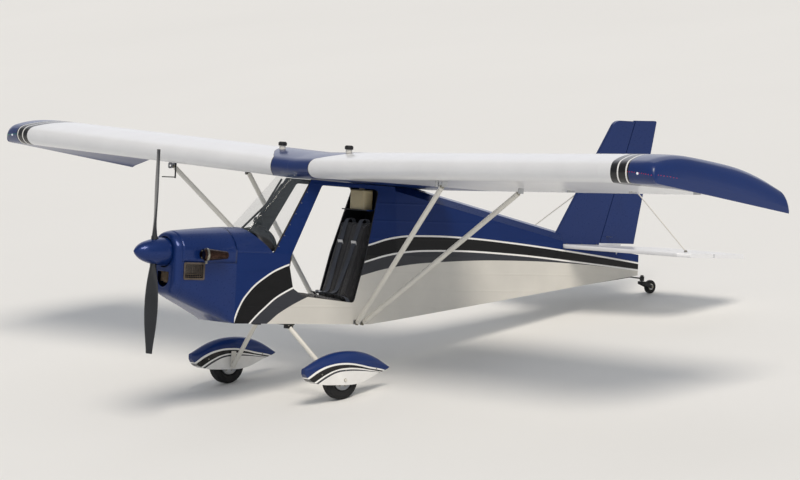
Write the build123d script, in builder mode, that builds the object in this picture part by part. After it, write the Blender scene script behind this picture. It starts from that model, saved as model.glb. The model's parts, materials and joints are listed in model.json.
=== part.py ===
from build123d import *
from math import asin, atan2, cos, degrees, hypot, radians, sin
import os

os.makedirs("parts", exist_ok=True)

# Single-seat high-wing microlight with a tailwheel. Lengths in mm, in the rigging frame: x forward of
# the wing's leading edge, y to the left of the centre plane, z above the flat belly.

# Wheels and the attitude they give on the ground
MAIN_X = -37
MAIN_Y = 688
MAIN_Z = -371
MAIN_TYRE_R = 145
MAIN_TYRE_W = 84
MAIN_RIM_R = 78
AXLE_R = 10
TAIL_X = -3760
TAIL_Z = 304
TAIL_TYRE_R = 54
TAIL_TYRE_W = 36
TAIL_RIM_R = 26
TAIL_AXLE_R = 5
STEER_X = -3668
STEER_PIN_R = 7
SOCKET_Z = 368
SOCKET_HEIGHT = 38
SPRING_T = 9

# Fuselage box
HALF_WIDTH = 220
ROOF_HALF_WIDTH = 156
CREASE_Z = 520
ROOF_Z = 1060
SKIN = 12
FIREWALL_X = 600
BULKHEAD_X = -900
BULKHEAD_T = 8
TAPER_X = -670
STERN_X = -3590
STERN_HALF_WIDTH = 30
STERN_BOTTOM_Z = 395
STERN_TOP_Z = 560
TAIL_SEAT_X = -2715
TAIL_SEAT_Z = 600
DECK_RIDGE_FRONT_Z = 1096
DECK_RIDGE_REAR_Z = 730

# Door openings, the same on both sides
SILL_Z = 205
DOOR_FRONT_X = 70
DOOR_FRONT_Z = 262
DOOR_REAR_LOW_X = -512
DOOR_REAR_LOW_Z = 160
DOOR_REAR_HIGH_X = -748
DOOR_REAR_HIGH_Z = 1012
DOOR_POST_LOW_X = 110
DOOR_POST_HIGH_X = -205
DOOR_POST_HIGH_Z = 1030
DOOR_CORNER_R = 45
POST_FRONT_LOW_X = 265
POST_FRONT_HIGH_X = -100

# Cowl and power unit
COWL_WALL = 4
COWL_SEAM_Z = 440
NOSE_X = 1100
BOWL_X = 1052
NOSE_FILLET = 14
THRUST_Z = 503
SPINNER_R = 105
SPINNER_BASE_X = 1075
SPINNER_TIP_X = 1368
SPINNER_WALL = 3
SPINNER_NOSE_LENGTH = 93
SPINNER_NOSE_SHARE = 0.695
SPINNER_GAP = 8
INLET_Z = 312
INLET_WIDTH = 148
INLET_HEIGHT = 88
PROP_X = 1192
PROP_R = 740
BLADE_SHANK_R = 24
SHAFT_R = 16
ENGINE_LENGTH = 260
ENGINE_WIDTH = 226
ENGINE_HEIGHT = 240
ENGINE_FRONT_X = 1030
VENT_X = 955
VENT_Z = 375
VENT_LENGTH = 170
VENT_HEIGHT = 126
EXHAUST_X = 880
EXHAUST_Z = 500
EXHAUST_R = 46
EXHAUST_END_R = 27
EXHAUST_LENGTH = 190

# Windscreen
SCREEN_T = 3
SCREEN_FOOT_X = 475
SCREEN_FOOT_Z = 694
SCREEN_RAKE = 1.02
SCREEN_TOP_Z = 1128

# Wing
CHORD = 1372
DIHEDRAL = 2
CENTRE_HALF = 222
WING_END = 3370
TIP_END = 3870
AIRFOIL_UNDER_FRONT = 1074
AIRFOIL_UNDER_REAR = 1018
AIRFOIL_CROWN_Z = 217
AIRFOIL_NOSE_R = 74
TRAILING_EDGE_T = 8
SHOULDER_SHARE = 0.763
AILERON_IN = 1750
AILERON_END_GAP = 30
AILERON_OUT = WING_END - AILERON_END_GAP
AILERON_HINGE_BACK = 217
AILERON_NOSE_R = 31
CONTROL_GAP = 6

# Crossed tubes behind the windscreen
BRACE_R = 8
BRACE_FOOT_X = 370
BRACE_TOP_X = 10

# Lift struts
STRUT_R = 19
STRUT_FOOT_X = -540
STRUT_FOOT_GAP = 60
STRUT_TOP_Y = 1605
STRUT_FRONT_X = -143
STRUT_REAR_X = -869
TIE_DOWN_X = -92
TIE_DOWN_R = 8
TIE_DOWN_T = 6

# Tail
FIN_T = 32
STAB_T = 32
STAB_HALF_SPAN = 1240
STAB_ROOT_LE_X = -2720
STAB_TIP_LE_X = -2930
STAB_HINGE_X = -3250
ELEVATOR_TE_X = -3660
TAIL_BRACE_X = -3300
TAIL_BRACE_TOP_Z = 1260
TAIL_BRACE_FOOT_Y = 980
TAIL_BRACE_R = 5
RUDDER_BOTTOM_Z = 646
RUDDER_HINGE_LOW_X = -3165
RUDDER_HINGE_LEAN = 0.327
FIN_TOP_Z = 1630
FIN_LE_TOP_X = -3277
FIN_CORNER_R = 95
RUDDER_CORNER_R = 14
RUDDER_TE_LOW_X = -3541
RUDDER_TE_HIGH_X = -3727

# Landing gear
LEG_R = 17
LEG_TOP_X = 76
LEG_TOP_Y = 190
LEG_TOP_Z = -16
POD_HALF_WIDTH = 70
POD_NOSE_X = 307
POD_TAIL_X = -493
POD_TOP_Z = -172
POD_BOTTOM_Z = -407
POD_SIDE_SHARE = 0.6

# Fuel fillers on top of the wing
FILLER_X = -248
FILLER_Y = 400
FILLER_Z = 1306
FILLER_R = 24

# Seat and the small tank on its shelf behind it
SEAT_HALF_WIDTH = 180
SHELF_Z = 856
SHELF_T = 8
SHELF_DEPTH = 250
SHELF_WIDTH = 300
TANK_X = -716
TANK_LENGTH = 100
TANK_WIDTH = 170
TANK_HEIGHT = 148
TANK_NECK_R = 20

# Clearances
FIT = 0.4
SEAT = 0.5

# The three points of support give the nose-up angle on the ground
wheel_base = MAIN_X - TAIL_X
wheel_rise = TAIL_Z - MAIN_Z
PARK_ANGLE = degrees(atan2(wheel_rise, wheel_base)
                     + asin((MAIN_TYRE_R - TAIL_TYRE_R) / hypot(wheel_base, wheel_rise)))
c_park = cos(radians(PARK_ANGLE))
s_park = sin(radians(PARK_ANGLE))
floor_z = MAIN_X * s_park + MAIN_Z * c_park - MAIN_TYRE_R
front_x = SPINNER_TIP_X * c_park - THRUST_Z * s_park
rear_x = RUDDER_TE_HIGH_X * c_park - FIN_TOP_Z * s_park
RIG = Plane(origin=(-(front_x + rear_x) / 2, 0, -floor_z), x_dir=(c_park, 0, s_park),
            z_dir=(-s_park, 0, c_park))


def at(x, y, z):
    """A rigging point in the parked frame."""
    return RIG.from_local_coords(Vector(x, y, z))


def station(x):
    """Cross-section plane at a station: sketch x is to the left, sketch y is up."""
    return Plane(origin=at(x, 0, 0), x_dir=(0, 1, 0), z_dir=RIG.x_dir)


def profile(y=0):
    """Side-view plane: sketch x is forward, sketch y is up, the normal points to the right."""
    return Plane(origin=at(0, y, 0), x_dir=RIG.x_dir, z_dir=(0, -1, 0))


def level(z):
    """Plan-view plane: sketch x is forward, sketch y is to the left."""
    return Plane(origin=at(0, 0, z), x_dir=RIG.x_dir, z_dir=RIG.z_dir)


def span_dir(sign):
    """The way along a wing half, with its dihedral."""
    rise = sin(radians(DIHEDRAL))
    return Vector(0, sign * cos(radians(DIHEDRAL)), 0) + RIG.z_dir * rise


def lift(y):
    """How far the dihedral raises the wing at a span station."""
    return abs(y) * sin(radians(DIHEDRAL)) / cos(radians(DIHEDRAL))


def blend(a, b, share):
    return a + (b - a) * share


def rod(start, end, radius):
    """A round bar between two rigging points."""
    run = at(*end) - at(*start)
    with BuildPart() as bar:
        with BuildSketch(Plane(origin=at(*start), z_dir=run)):
            Circle(radius)
        extrude(amount=run.length)
    return bar.part


def save(built, label):
    built.part.label = label
    export_step(built.part, f"parts/{label}.step")


def wing_under(x):
    """Height of the wing's flat underside at the centre plane."""
    return blend(AIRFOIL_UNDER_FRONT, AIRFOIL_UNDER_REAR, -x / CHORD)


def belly(x):
    """Height of the belly: flat under the cabin, then rising to the stern."""
    return 0 if x >= TAPER_X else blend(0, STERN_BOTTOM_Z, (x - TAPER_X) / (STERN_X - TAPER_X))


# Cowl: sections of station, half width, bottom, crease, top and lower corner radius
COWL_SECTIONS = [
    (FIREWALL_X, HALF_WIDTH, 0, CREASE_Z + 10, 694, 25),
    (745, 216, 0, 535, 684, 25),
    (BOWL_X, 164, 168, 547, 658, 85),
    (NOSE_X, 128, 195, 548, 640, 85),
]


def cowl_form(inset, sections):
    """The cowl's body, lofted through its sections, each drawn in by the inset."""
    with BuildPart() as form:
        for x, half, bottom, crease, top, corner in sections:
            with BuildSketch(station(x)):
                with BuildLine():
                    low = bottom + inset
                    side = half - inset
                    r = corner
                    Line((-side + r, low), (side - r, low))
                    RadiusArc((side - r, low), (side, low + r), -r)
                    Line((side, low + r), (side, crease))
                    ThreePointArc((side, crease), (0, top - inset), (-side, crease))
                    Line((-side, crease), (-side, low + r))
                    RadiusArc((-side, low + r), (-side + r, low), -r)
                make_face()
        loft(ruled=True)
    return form.part


def cowl_shell():
    """The hollow cowl, open at the firewall, at the spinner, at the inlet and at the side vent."""
    _, half, bottom, crease, top, corner = COWL_SECTIONS[-1]
    inner = COWL_SECTIONS[:-1] + [(NOSE_X - COWL_WALL, half - NOSE_FILLET, bottom + NOSE_FILLET, crease,
                                   top - NOSE_FILLET, corner - NOSE_FILLET)]
    with BuildPart() as shell:
        add(cowl_form(0, COWL_SECTIONS))
        fillet(shell.faces().sort_by(Axis(at(0, 0, 0), RIG.x_dir))[-1].edges(), NOSE_FILLET)
        add(cowl_form(COWL_WALL, inner), mode=Mode.SUBTRACT)
        with BuildSketch(station(NOSE_X + 20)):
            with Locations((0, THRUST_Z)):
                Circle(SPINNER_R + SPINNER_GAP)
            with Locations((0, INLET_Z)):
                RectangleRounded(INLET_WIDTH, INLET_HEIGHT, INLET_HEIGHT / 2 - 8)
        extrude(amount=-66, mode=Mode.SUBTRACT)
        with BuildSketch(profile(HALF_WIDTH + 10)):
            with Locations((VENT_X, VENT_Z)):
                RectangleRounded(VENT_LENGTH - 24, VENT_HEIGHT - 24, 10)
        extrude(amount=120, mode=Mode.SUBTRACT)
    return shell.part


shell_part = cowl_shell()
with BuildPart() as nose_bowl:
    add(shell_part)
    split(bisect_by=station(BOWL_X), keep=Keep.TOP)
save(nose_bowl, "nose_bowl")

for name, keep in (("upper", Keep.TOP), ("lower", Keep.BOTTOM)):
    with BuildPart() as cowl_half:
        add(shell_part)
        split(bisect_by=station(BOWL_X), keep=Keep.BOTTOM)
        split(bisect_by=level(COWL_SEAM_Z), keep=keep)
    save(cowl_half, f"cowl_{name}")

# Power unit: the engine is one block at its real place, with the shaft's bore
with BuildPart() as engine:
    with BuildSketch(station(ENGINE_FRONT_X)):
        with Locations((0, THRUST_Z - 40)):
            RectangleRounded(ENGINE_WIDTH, ENGINE_HEIGHT, 20)
    extrude(amount=-ENGINE_LENGTH)
    with BuildSketch(station(ENGINE_FRONT_X)):
        with Locations((0, THRUST_Z)):
            Circle(SHAFT_R + FIT)
    extrude(amount=-60, mode=Mode.SUBTRACT)
save(engine, "engine_block")

with BuildPart() as propeller:
    with BuildSketch(station(ENGINE_FRONT_X - 50)):
        with Locations((0, THRUST_Z)):
            Circle(SHAFT_R)
    extrude(amount=PROP_X - ENGINE_FRONT_X + 50)
    with BuildSketch(station(PROP_X - 34)):
        with Locations((0, THRUST_Z)):
            Circle(54)
    extrude(amount=68)
    # Blade sections: distance from the thrust line, chord, thickness, pitch angle
    for sign in (1, -1):
        with BuildSketch(level(THRUST_Z)):
            with Locations((PROP_X, 0)):
                Circle(BLADE_SHANK_R)
        extrude(amount=sign * 112)
        for reach, chord, thick, pitch in ((110, 48, 40, 42), (300, 104, 17, 26), (PROP_R, 62, 7, 12)):
            with BuildSketch(level(THRUST_Z + sign * reach)):
                with Locations(Location((PROP_X, 0, 0), (0, 0, 90 - sign * pitch))):
                    Ellipse(chord / 2, thick / 2)
        loft(ruled=False)
save(propeller, "propeller")

def spinner_form(base_x, radius, tip_x):
    """A blunt-nosed spinner body, turned about the thrust line."""
    with BuildPart() as form:
        with BuildSketch(profile()):
            with BuildLine():
                Line((base_x, THRUST_Z), (base_x, THRUST_Z + radius))
                run = tip_x - SPINNER_NOSE_LENGTH - base_x
                drop = radius * (1 - SPINNER_NOSE_SHARE)
                shoulder = (base_x + run, THRUST_Z + radius - drop)
                turn = 2 * atan2(drop, run)
                TangentArc((base_x, THRUST_Z + radius), shoulder, tangent=(1, 0))
                TangentArc(shoulder, (tip_x, THRUST_Z + 5), tangent=(cos(turn), -sin(turn)))
                Polyline((tip_x, THRUST_Z + 5), (tip_x, THRUST_Z), (base_x, THRUST_Z))
            make_face()
        revolve(axis=Axis(at(0, 0, THRUST_Z), RIG.x_dir), revolution_arc=360)
    return form.part


with BuildPart() as spinner:
    add(spinner_form(SPINNER_BASE_X, SPINNER_R, SPINNER_TIP_X))
    add(spinner_form(SPINNER_BASE_X + SPINNER_WALL, SPINNER_R - SPINNER_WALL, SPINNER_TIP_X - 12),
        mode=Mode.SUBTRACT)
    with BuildSketch(station(SPINNER_BASE_X - 1)):
        with Locations((0, THRUST_Z)):
            Circle(SHAFT_R + FIT)
    extrude(amount=SPINNER_WALL + 2, mode=Mode.SUBTRACT)
    with BuildSketch(level(THRUST_Z)):
        with Locations((PROP_X, 0)):
            Circle(BLADE_SHANK_R + 8)
    extrude(amount=SPINNER_R + 20, both=True, mode=Mode.SUBTRACT)
save(spinner, "spinner")

# Mesh-covered vent in the left cowl side, and the exhaust stub above it
def cowl_side(x, z, proud):
    """Plane on the left cowl side between its second and third sections, facing outwards."""
    (x_a, half_a), (x_b, half_b) = COWL_SECTIONS[1][:2], COWL_SECTIONS[2][:2]
    lean = atan2(half_a - half_b, x_b - x_a)
    out = Vector(0, cos(lean), 0) + RIG.x_dir * sin(lean)
    surface = at(x, blend(half_a, half_b, (x - x_a) / (x_b - x_a)), z)
    return Plane(origin=surface + out * proud, x_dir=RIG.x_dir * cos(lean) - Vector(0, sin(lean), 0), z_dir=out)


vent_plane = cowl_side(VENT_X, VENT_Z, FIT)
with BuildPart() as vent_frame:
    with BuildSketch(vent_plane):
        RectangleRounded(VENT_LENGTH, VENT_HEIGHT, 12)
        RectangleRounded(VENT_LENGTH - 26, VENT_HEIGHT - 26, 8, mode=Mode.SUBTRACT)
    extrude(amount=5)
    with BuildSketch(vent_plane):
        with GridLocations((VENT_LENGTH - 26) / 10, 0, 11, 1):
            Rectangle(2.4, VENT_HEIGHT - 20)
        with GridLocations(0, (VENT_HEIGHT - 26) / 8, 1, 9):
            Rectangle(VENT_LENGTH - 20, 2.4)
    extrude(amount=2)
save(vent_frame, "cowl_vent")

exhaust_plane = cowl_side(EXHAUST_X, EXHAUST_Z, FIT)
with BuildPart() as exhaust:
    with BuildSketch(exhaust_plane):
        Circle(EXHAUST_R - 6)
    extrude(amount=12)
    stack_out = EXHAUST_R + 16
    with BuildSketch(exhaust_plane):
        Circle(EXHAUST_END_R)
    extrude(amount=stack_out)
    stack_plane = Plane(origin=exhaust_plane.from_local_coords(Vector(EXHAUST_R - 10, 0, stack_out)),
                        x_dir=exhaust_plane.z_dir, z_dir=exhaust_plane.x_dir * -1)
    for reach, size in ((0, EXHAUST_R - 14), (16, EXHAUST_R)):
        with BuildSketch(stack_plane.offset(reach)):
            Circle(size)
    loft(ruled=True)
    for reach, size in ((16, EXHAUST_R), (EXHAUST_LENGTH, EXHAUST_END_R)):
        with BuildSketch(stack_plane.offset(reach)):
            Circle(size)
    loft(ruled=True)
    with BuildSketch(stack_plane.offset(EXHAUST_LENGTH)):
        Circle(EXHAUST_END_R - 4)
    extrude(amount=-50, mode=Mode.SUBTRACT)
save(exhaust, "exhaust_stub")

# Cabin: coaming, firewall, floor, sides, posts, roof rails and rear bulkhead
coaming_sections = [(FIREWALL_X - SEAT,) + COWL_SECTIONS[0][1:], (120, HALF_WIDTH, 8, CREASE_Z + 10, 705, 40)]
with BuildPart() as coaming:
    add(cowl_form(0, coaming_sections))
    add(cowl_form(5, [(FIREWALL_X + 5,) + coaming_sections[0][1:], (100,) + coaming_sections[1][1:]]),
        mode=Mode.SUBTRACT)
    with BuildSketch(profile()):
        with BuildLine():
            Polyline((FIREWALL_X + 10, -20), (FIREWALL_X + 10, CREASE_Z + SEAT), (POST_FRONT_LOW_X + 4, CREASE_Z + SEAT),
                     (SCREEN_FOOT_X, SCREEN_FOOT_Z + 26), (50, SCREEN_FOOT_Z + 26), (50, -20), close=True)
        make_face()
    extrude(amount=400, both=True, mode=Mode.SUBTRACT)
save(coaming, "coaming")

with BuildPart() as firewall:
    with BuildSketch(station(FIREWALL_X - SEAT)):
        with BuildLine():
            inner_half = HALF_WIDTH - SKIN - SEAT
            Polyline((inner_half, CREASE_Z), (inner_half, SKIN + SEAT), (-inner_half, SKIN + SEAT),
                     (-inner_half, CREASE_Z))
            ThreePointArc((-inner_half, CREASE_Z), (0, 686), (inner_half, CREASE_Z))
        make_face()
    extrude(amount=-6)
save(firewall, "firewall")

with BuildPart() as floor:
    with BuildSketch(profile()):
        with BuildLine():
            Polyline((FIREWALL_X, 0), (FIREWALL_X, SKIN), (TAPER_X, SKIN), (BULKHEAD_X, belly(BULKHEAD_X) + SKIN),
                     (BULKHEAD_X, belly(BULKHEAD_X)), (TAPER_X, 0), close=True)
        make_face()
    extrude(amount=HALF_WIDTH, both=True)
save(floor, "floor_panel")

door_outline = [
    (DOOR_FRONT_X, DOOR_FRONT_Z), (-30, SILL_Z), (DOOR_REAR_LOW_X, DOOR_REAR_LOW_Z),
    (DOOR_REAR_HIGH_X, DOOR_REAR_HIGH_Z), (DOOR_POST_HIGH_X, DOOR_POST_HIGH_Z),
    (DOOR_POST_LOW_X, CREASE_Z - 30), (DOOR_POST_LOW_X + 5, CREASE_Z - 80)]


def post_front(z):
    """Front edge of the raking door post, where the windscreen ends."""
    return blend(POST_FRONT_LOW_X, POST_FRONT_HIGH_X, (z - CREASE_Z) / (ROOF_Z - CREASE_Z))


def side_wall(sign):
    """One whole cabin side: upright below the crease, leaning in above it, with its door opening."""
    lean = (HALF_WIDTH - ROOF_HALF_WIDTH) / (ROOF_Z - CREASE_Z)
    top_half = HALF_WIDTH - lean * (ROOF_Z + 40 - CREASE_Z)
    with BuildPart() as wall:
        with BuildSketch(station(FIREWALL_X)):
            with BuildLine():
                Polyline((sign * HALF_WIDTH, SKIN), (sign * HALF_WIDTH, CREASE_Z), (sign * top_half, ROOF_Z + 40),
                         (sign * (top_half - SKIN), ROOF_Z + 40), (sign * (HALF_WIDTH - SKIN), CREASE_Z),
                         (sign * (HALF_WIDTH - SKIN), SKIN), close=True)
            make_face()
        extrude(amount=BULKHEAD_X - FIREWALL_X)
        with BuildSketch(profile()):
            with BuildLine():
                Polyline((FIREWALL_X + 10, CREASE_Z), (post_front(CREASE_Z), CREASE_Z),
                         (post_front(ROOF_Z + 60), ROOF_Z + 60), (FIREWALL_X + 10, ROOF_Z + 60), close=True)
            make_face()
            with BuildLine():
                Polyline((FIREWALL_X, wing_under(FIREWALL_X) - SEAT), (BULKHEAD_X - 10, wing_under(BULKHEAD_X - 10) - SEAT),
                         (BULKHEAD_X - 10, ROOF_Z + 60), (FIREWALL_X, ROOF_Z + 60), close=True)
            make_face()
            with BuildLine():
                Polyline((TAPER_X, 0), (TAPER_X, SKIN), (BULKHEAD_X - 10, belly(BULKHEAD_X - 10) + SKIN),
                         (BULKHEAD_X - 10, 0), close=True)
            make_face()
        extrude(amount=400, both=True, mode=Mode.SUBTRACT)
        with BuildSketch(profile()):
            with BuildLine():
                Polyline(*door_outline, close=True)
            make_face()
            fillet(vertices(), 30)
        extrude(amount=400, both=True, mode=Mode.SUBTRACT)
    return wall.part


for name, sign in (("left", 1), ("right", -1)):
    wall = side_wall(sign)
    with BuildPart() as lower_side:
        add(wall)
        split(bisect_by=level(CREASE_Z), keep=Keep.BOTTOM)
    save(lower_side, f"side_panel_{name}")
    with BuildPart() as upper_side:
        add(wall)
        split(bisect_by=level(CREASE_Z), keep=Keep.TOP)
    save(upper_side, f"upper_frame_{name}")

with BuildPart() as bulkhead:
    with BuildSketch(station(BULKHEAD_X)):
        with BuildLine():
            roof_half = blend(HALF_WIDTH, ROOF_HALF_WIDTH, (1036 - CREASE_Z) / (ROOF_Z - CREASE_Z))
            Polyline((HALF_WIDTH, belly(BULKHEAD_X)), (HALF_WIDTH, CREASE_Z), (roof_half, 1036),
                     (-roof_half, 1036), (-HALF_WIDTH, CREASE_Z), (-HALF_WIDTH, belly(BULKHEAD_X)), close=True)
        make_face()
    extrude(amount=-BULKHEAD_T)
    with BuildSketch(level(SHELF_Z)):
        with Locations((BULKHEAD_X + SHELF_DEPTH / 2, 0)):
            Rectangle(SHELF_DEPTH, SHELF_WIDTH)
    extrude(amount=-SHELF_T)
save(bulkhead, "rear_bulkhead")

aft_start = BULKHEAD_X - BULKHEAD_T
# Aft fuselage sections: station, crease height, half width at the top edge, height of the top edge
AFT_SECTIONS = [
    (aft_start, CREASE_Z, 163, 1006),
    (-2781, 505, 80, 645),
    (STAB_HINGE_X, 490, 50, TAIL_SEAT_Z + 1),
    (STERN_X, 480, STERN_HALF_WIDTH - 2, STERN_TOP_Z),
]


def taper(x):
    return blend(HALF_WIDTH, STERN_HALF_WIDTH, (x - aft_start) / (STERN_X - aft_start))


with BuildPart() as aft_fuselage:
    for x, crease, top_half, top in AFT_SECTIONS:
        with BuildSketch(station(x)):
            with BuildLine():
                Polyline((taper(x), belly(x)), (taper(x), crease), (top_half, top), (-top_half, top),
                         (-taper(x), crease), (-taper(x), belly(x)), close=True)
            make_face()
    loft(ruled=True)
    with BuildSketch(profile()):
        with BuildLine():
            Polyline((TAIL_SEAT_X, TAIL_SEAT_Z), (TAIL_SEAT_X, 800), (STERN_X - 50, 800),
                     (STERN_X - 50, TAIL_SEAT_Z), close=True)
        make_face()
    extrude(amount=200, both=True, mode=Mode.SUBTRACT)
save(aft_fuselage, "aft_fuselage")

with BuildPart() as turtle_deck:
    deck_share = (TAIL_SEAT_X - aft_start) / (AFT_SECTIONS[1][0] - aft_start)
    (_, _, half_a, top_a), (_, _, half_b, top_b) = AFT_SECTIONS[:2]
    for x, half, base, ridge in ((aft_start, half_a, top_a + FIT, DECK_RIDGE_FRONT_Z),
                                 (TAIL_SEAT_X, blend(half_a, half_b, deck_share),
                                  blend(top_a, top_b, deck_share) + FIT, DECK_RIDGE_REAR_Z)):
        with BuildSketch(station(x)):
            with BuildLine():
                Polyline((half, base), (half * 0.55, blend(base, ridge, 0.72)), (0, ridge),
                         (-half * 0.55, blend(base, ridge, 0.72)), (-half, base), close=True)
            make_face()
    loft(ruled=True)
    with BuildSketch(profile()):
        with BuildLine():
            Polyline((0, wing_under(0) - SEAT), (-CHORD - 4, wing_under(-CHORD - 4) - SEAT), (-CHORD - 4, 1300),
                     (0, 1300), close=True)
        make_face()
    extrude(amount=400, both=True, mode=Mode.SUBTRACT)
save(turtle_deck, "turtle_deck")

# Wing: airfoil sections by lines and arcs
def airfoil(chord, depth, tail_t=TRAILING_EDGE_T, shoulder_share=SHOULDER_SHARE):
    """Flat-bottomed section behind its lower front corner, its crown as high as the depth share says."""
    crown_z = AIRFOIL_CROWN_Z * depth
    nose_r = AIRFOIL_NOSE_R * depth
    crown = (-0.306 * chord, crown_z)
    shoulder = (-0.583 * chord, shoulder_share * crown_z)
    upper_nose = (-0.73 * nose_r, 2 * nose_r)
    lower_nose = (-0.93 * nose_r, 0)
    tail_top = (-chord, tail_t)
    with BuildSketch() as section:
        with BuildLine():
            fore = TangentArc(crown, upper_nose, tangent=(1, 0))
            TangentArc(upper_nose, lower_nose, tangent=fore % 1)
            Line(lower_nose, (-chord, 0))
            Line((-chord, 0), tail_top)
            Line(tail_top, shoulder)
            TangentArc(crown, shoulder, tangent=(-1, 0))
        make_face()
    return section.sketch


def pitched(front_z, rear_z, section, nose_x=0, chord=CHORD):
    """A section in side view, its underside running from front_z at the nose to rear_z at the tail."""
    fall = degrees(atan2(front_z - rear_z, chord))
    return Location((nose_x, front_z, 0), (0, 0, fall)) * section


wing_section = pitched(AIRFOIL_UNDER_FRONT, AIRFOIL_UNDER_REAR, airfoil(CHORD, 1))
hinge_x = -CHORD + AILERON_HINGE_BACK
hinge_z = blend(AIRFOIL_UNDER_FRONT, AIRFOIL_UNDER_REAR, -hinge_x / CHORD) + 36


def placed(section, y):
    """A side-view section set at a span station, raised by the dihedral."""
    return Plane(origin=at(0, y, lift(y)), x_dir=RIG.x_dir, z_dir=(0, -1, 0)) * section


with BuildPart() as wing_centre:
    add(placed(wing_section, 0))
    extrude(amount=CENTRE_HALF, dir=span_dir(1))
    add(mirror(wing_centre.part, about=Plane.XZ))
save(wing_centre, "wing_centre")


def wing_slab(sketch_face, start, end, sign):
    """A section run along the span between two stations."""
    length = (end - start) / cos(radians(DIHEDRAL))
    with BuildPart() as slab:
        add(placed(sketch_face, sign * start))
        extrude(amount=length, dir=span_dir(sign))
    return slab.part


with BuildSketch() as cove:
    with Locations((hinge_x, hinge_z)):
        Circle(AILERON_NOSE_R + CONTROL_GAP)
    with Locations((hinge_x - 200, hinge_z)):
        Rectangle(400, 300)
with BuildSketch() as aileron_zone:
    with Locations((hinge_x, hinge_z)):
        Circle(AILERON_NOSE_R)
    with Locations((hinge_x - 200, hinge_z)):
        Rectangle(400, 300)
with BuildSketch() as aileron_section:
    add(wing_section)
    add(aileron_zone.sketch, mode=Mode.INTERSECT)

# Drooped tip sections: station, underside front and rear height, depth share, nose setback, trailing
# edge height, height share of the point where the top turns down to the trailing edge
TIP_TAPER = 0.02
TIP_SECTIONS = [
    (WING_END + SEAT, AIRFOIL_UNDER_FRONT + lift(WING_END), AIRFOIL_UNDER_REAR + lift(WING_END), 1, 0,
     TRAILING_EDGE_T, SHOULDER_SHARE),
    (3600, 1200, 1115, 0.97, -4, 30, 0.80),
    (3760, 1204, 1072, 0.93, -20, 75, 0.86),
    (3840, 1206, 1046, 0.74, -45, 70, 0.85),
    (TIP_END, 1207, 1032, 0.35, -70, 40, 0.80),
]

for name, sign in (("left", 1), ("right", -1)):
    with BuildPart() as wing:
        add(wing_slab(wing_section, CENTRE_HALF + SEAT, WING_END, sign))
        add(wing_slab(cove.sketch, AILERON_IN - CONTROL_GAP, AILERON_OUT + CONTROL_GAP, sign), mode=Mode.SUBTRACT)
    save(wing, f"wing_{name}")
    with BuildPart() as aileron:
        add(wing_slab(aileron_section.sketch, AILERON_IN, AILERON_OUT, sign))
    save(aileron, f"aileron_{name}")
    with BuildPart() as tip:
        for y, front, rear, depth, nose_back, tail_t, shoulder_share in TIP_SECTIONS:
            tip_plane = Plane(origin=at(0, sign * y, 0), x_dir=RIG.x_dir, z_dir=(0, -1, 0))
            chord = CHORD + nose_back - (y - WING_END) * TIP_TAPER
            add(tip_plane * pitched(front, rear, airfoil(chord, depth, tail_t, shoulder_share), nose_back, chord))
        loft(ruled=False)
    save(tip, f"wing_tip_{name}")

# Windscreen: one bent clear sheet from the coaming to the wing's leading edge


def screen_form(inset, over):
    """The volume inside the bent sheet, from below the coaming to above the leading edge."""
    lean = (HALF_WIDTH - ROOF_HALF_WIDTH) / (ROOF_Z - CREASE_Z)
    with BuildPart() as form:
        for z in (CREASE_Z + 1 - over, SCREEN_TOP_Z + over):
            post_x = post_front(z) + 1 - over
            half = HALF_WIDTH - lean * (z - CREASE_Z) - inset
            nose_x = SCREEN_FOOT_X - (z - SCREEN_FOOT_Z) * SCREEN_RAKE - inset
            shoulder = blend(post_x, nose_x, 0.72)
            with BuildSketch(level(z)):
                with BuildLine():
                    Line((post_x, -half), (post_x, half))
                    Line((post_x, half), (shoulder, half * 0.62))
                    ThreePointArc((shoulder, half * 0.62), (nose_x, 0), (shoulder, -half * 0.62))
                    Line((shoulder, -half * 0.62), (post_x, -half))
                make_face()
        loft(ruled=True)
    return form.part


with BuildPart() as windscreen:
    add(screen_form(0, 0))
    add(screen_form(SCREEN_T, 20), mode=Mode.SUBTRACT)
    add(cowl_form(-SEAT, [(FIREWALL_X + 400,) + coaming_sections[0][1:], coaming_sections[1]]), mode=Mode.SUBTRACT)
    with BuildSketch(profile()):
        add(wing_section)
        offset(amount=SEAT)
        with Locations((-200, 1200)):
            Rectangle(380, 240)
    extrude(amount=400, both=True, mode=Mode.SUBTRACT)
save(windscreen, "windscreen")

with BuildPart() as cabin_brace:
    for sign in (1, -1):
        add(rod((BRACE_FOOT_X, -sign * 60, 676), (BRACE_TOP_X, sign * 60, 1058), BRACE_R))
save(cabin_brace, "cabin_brace")

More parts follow.
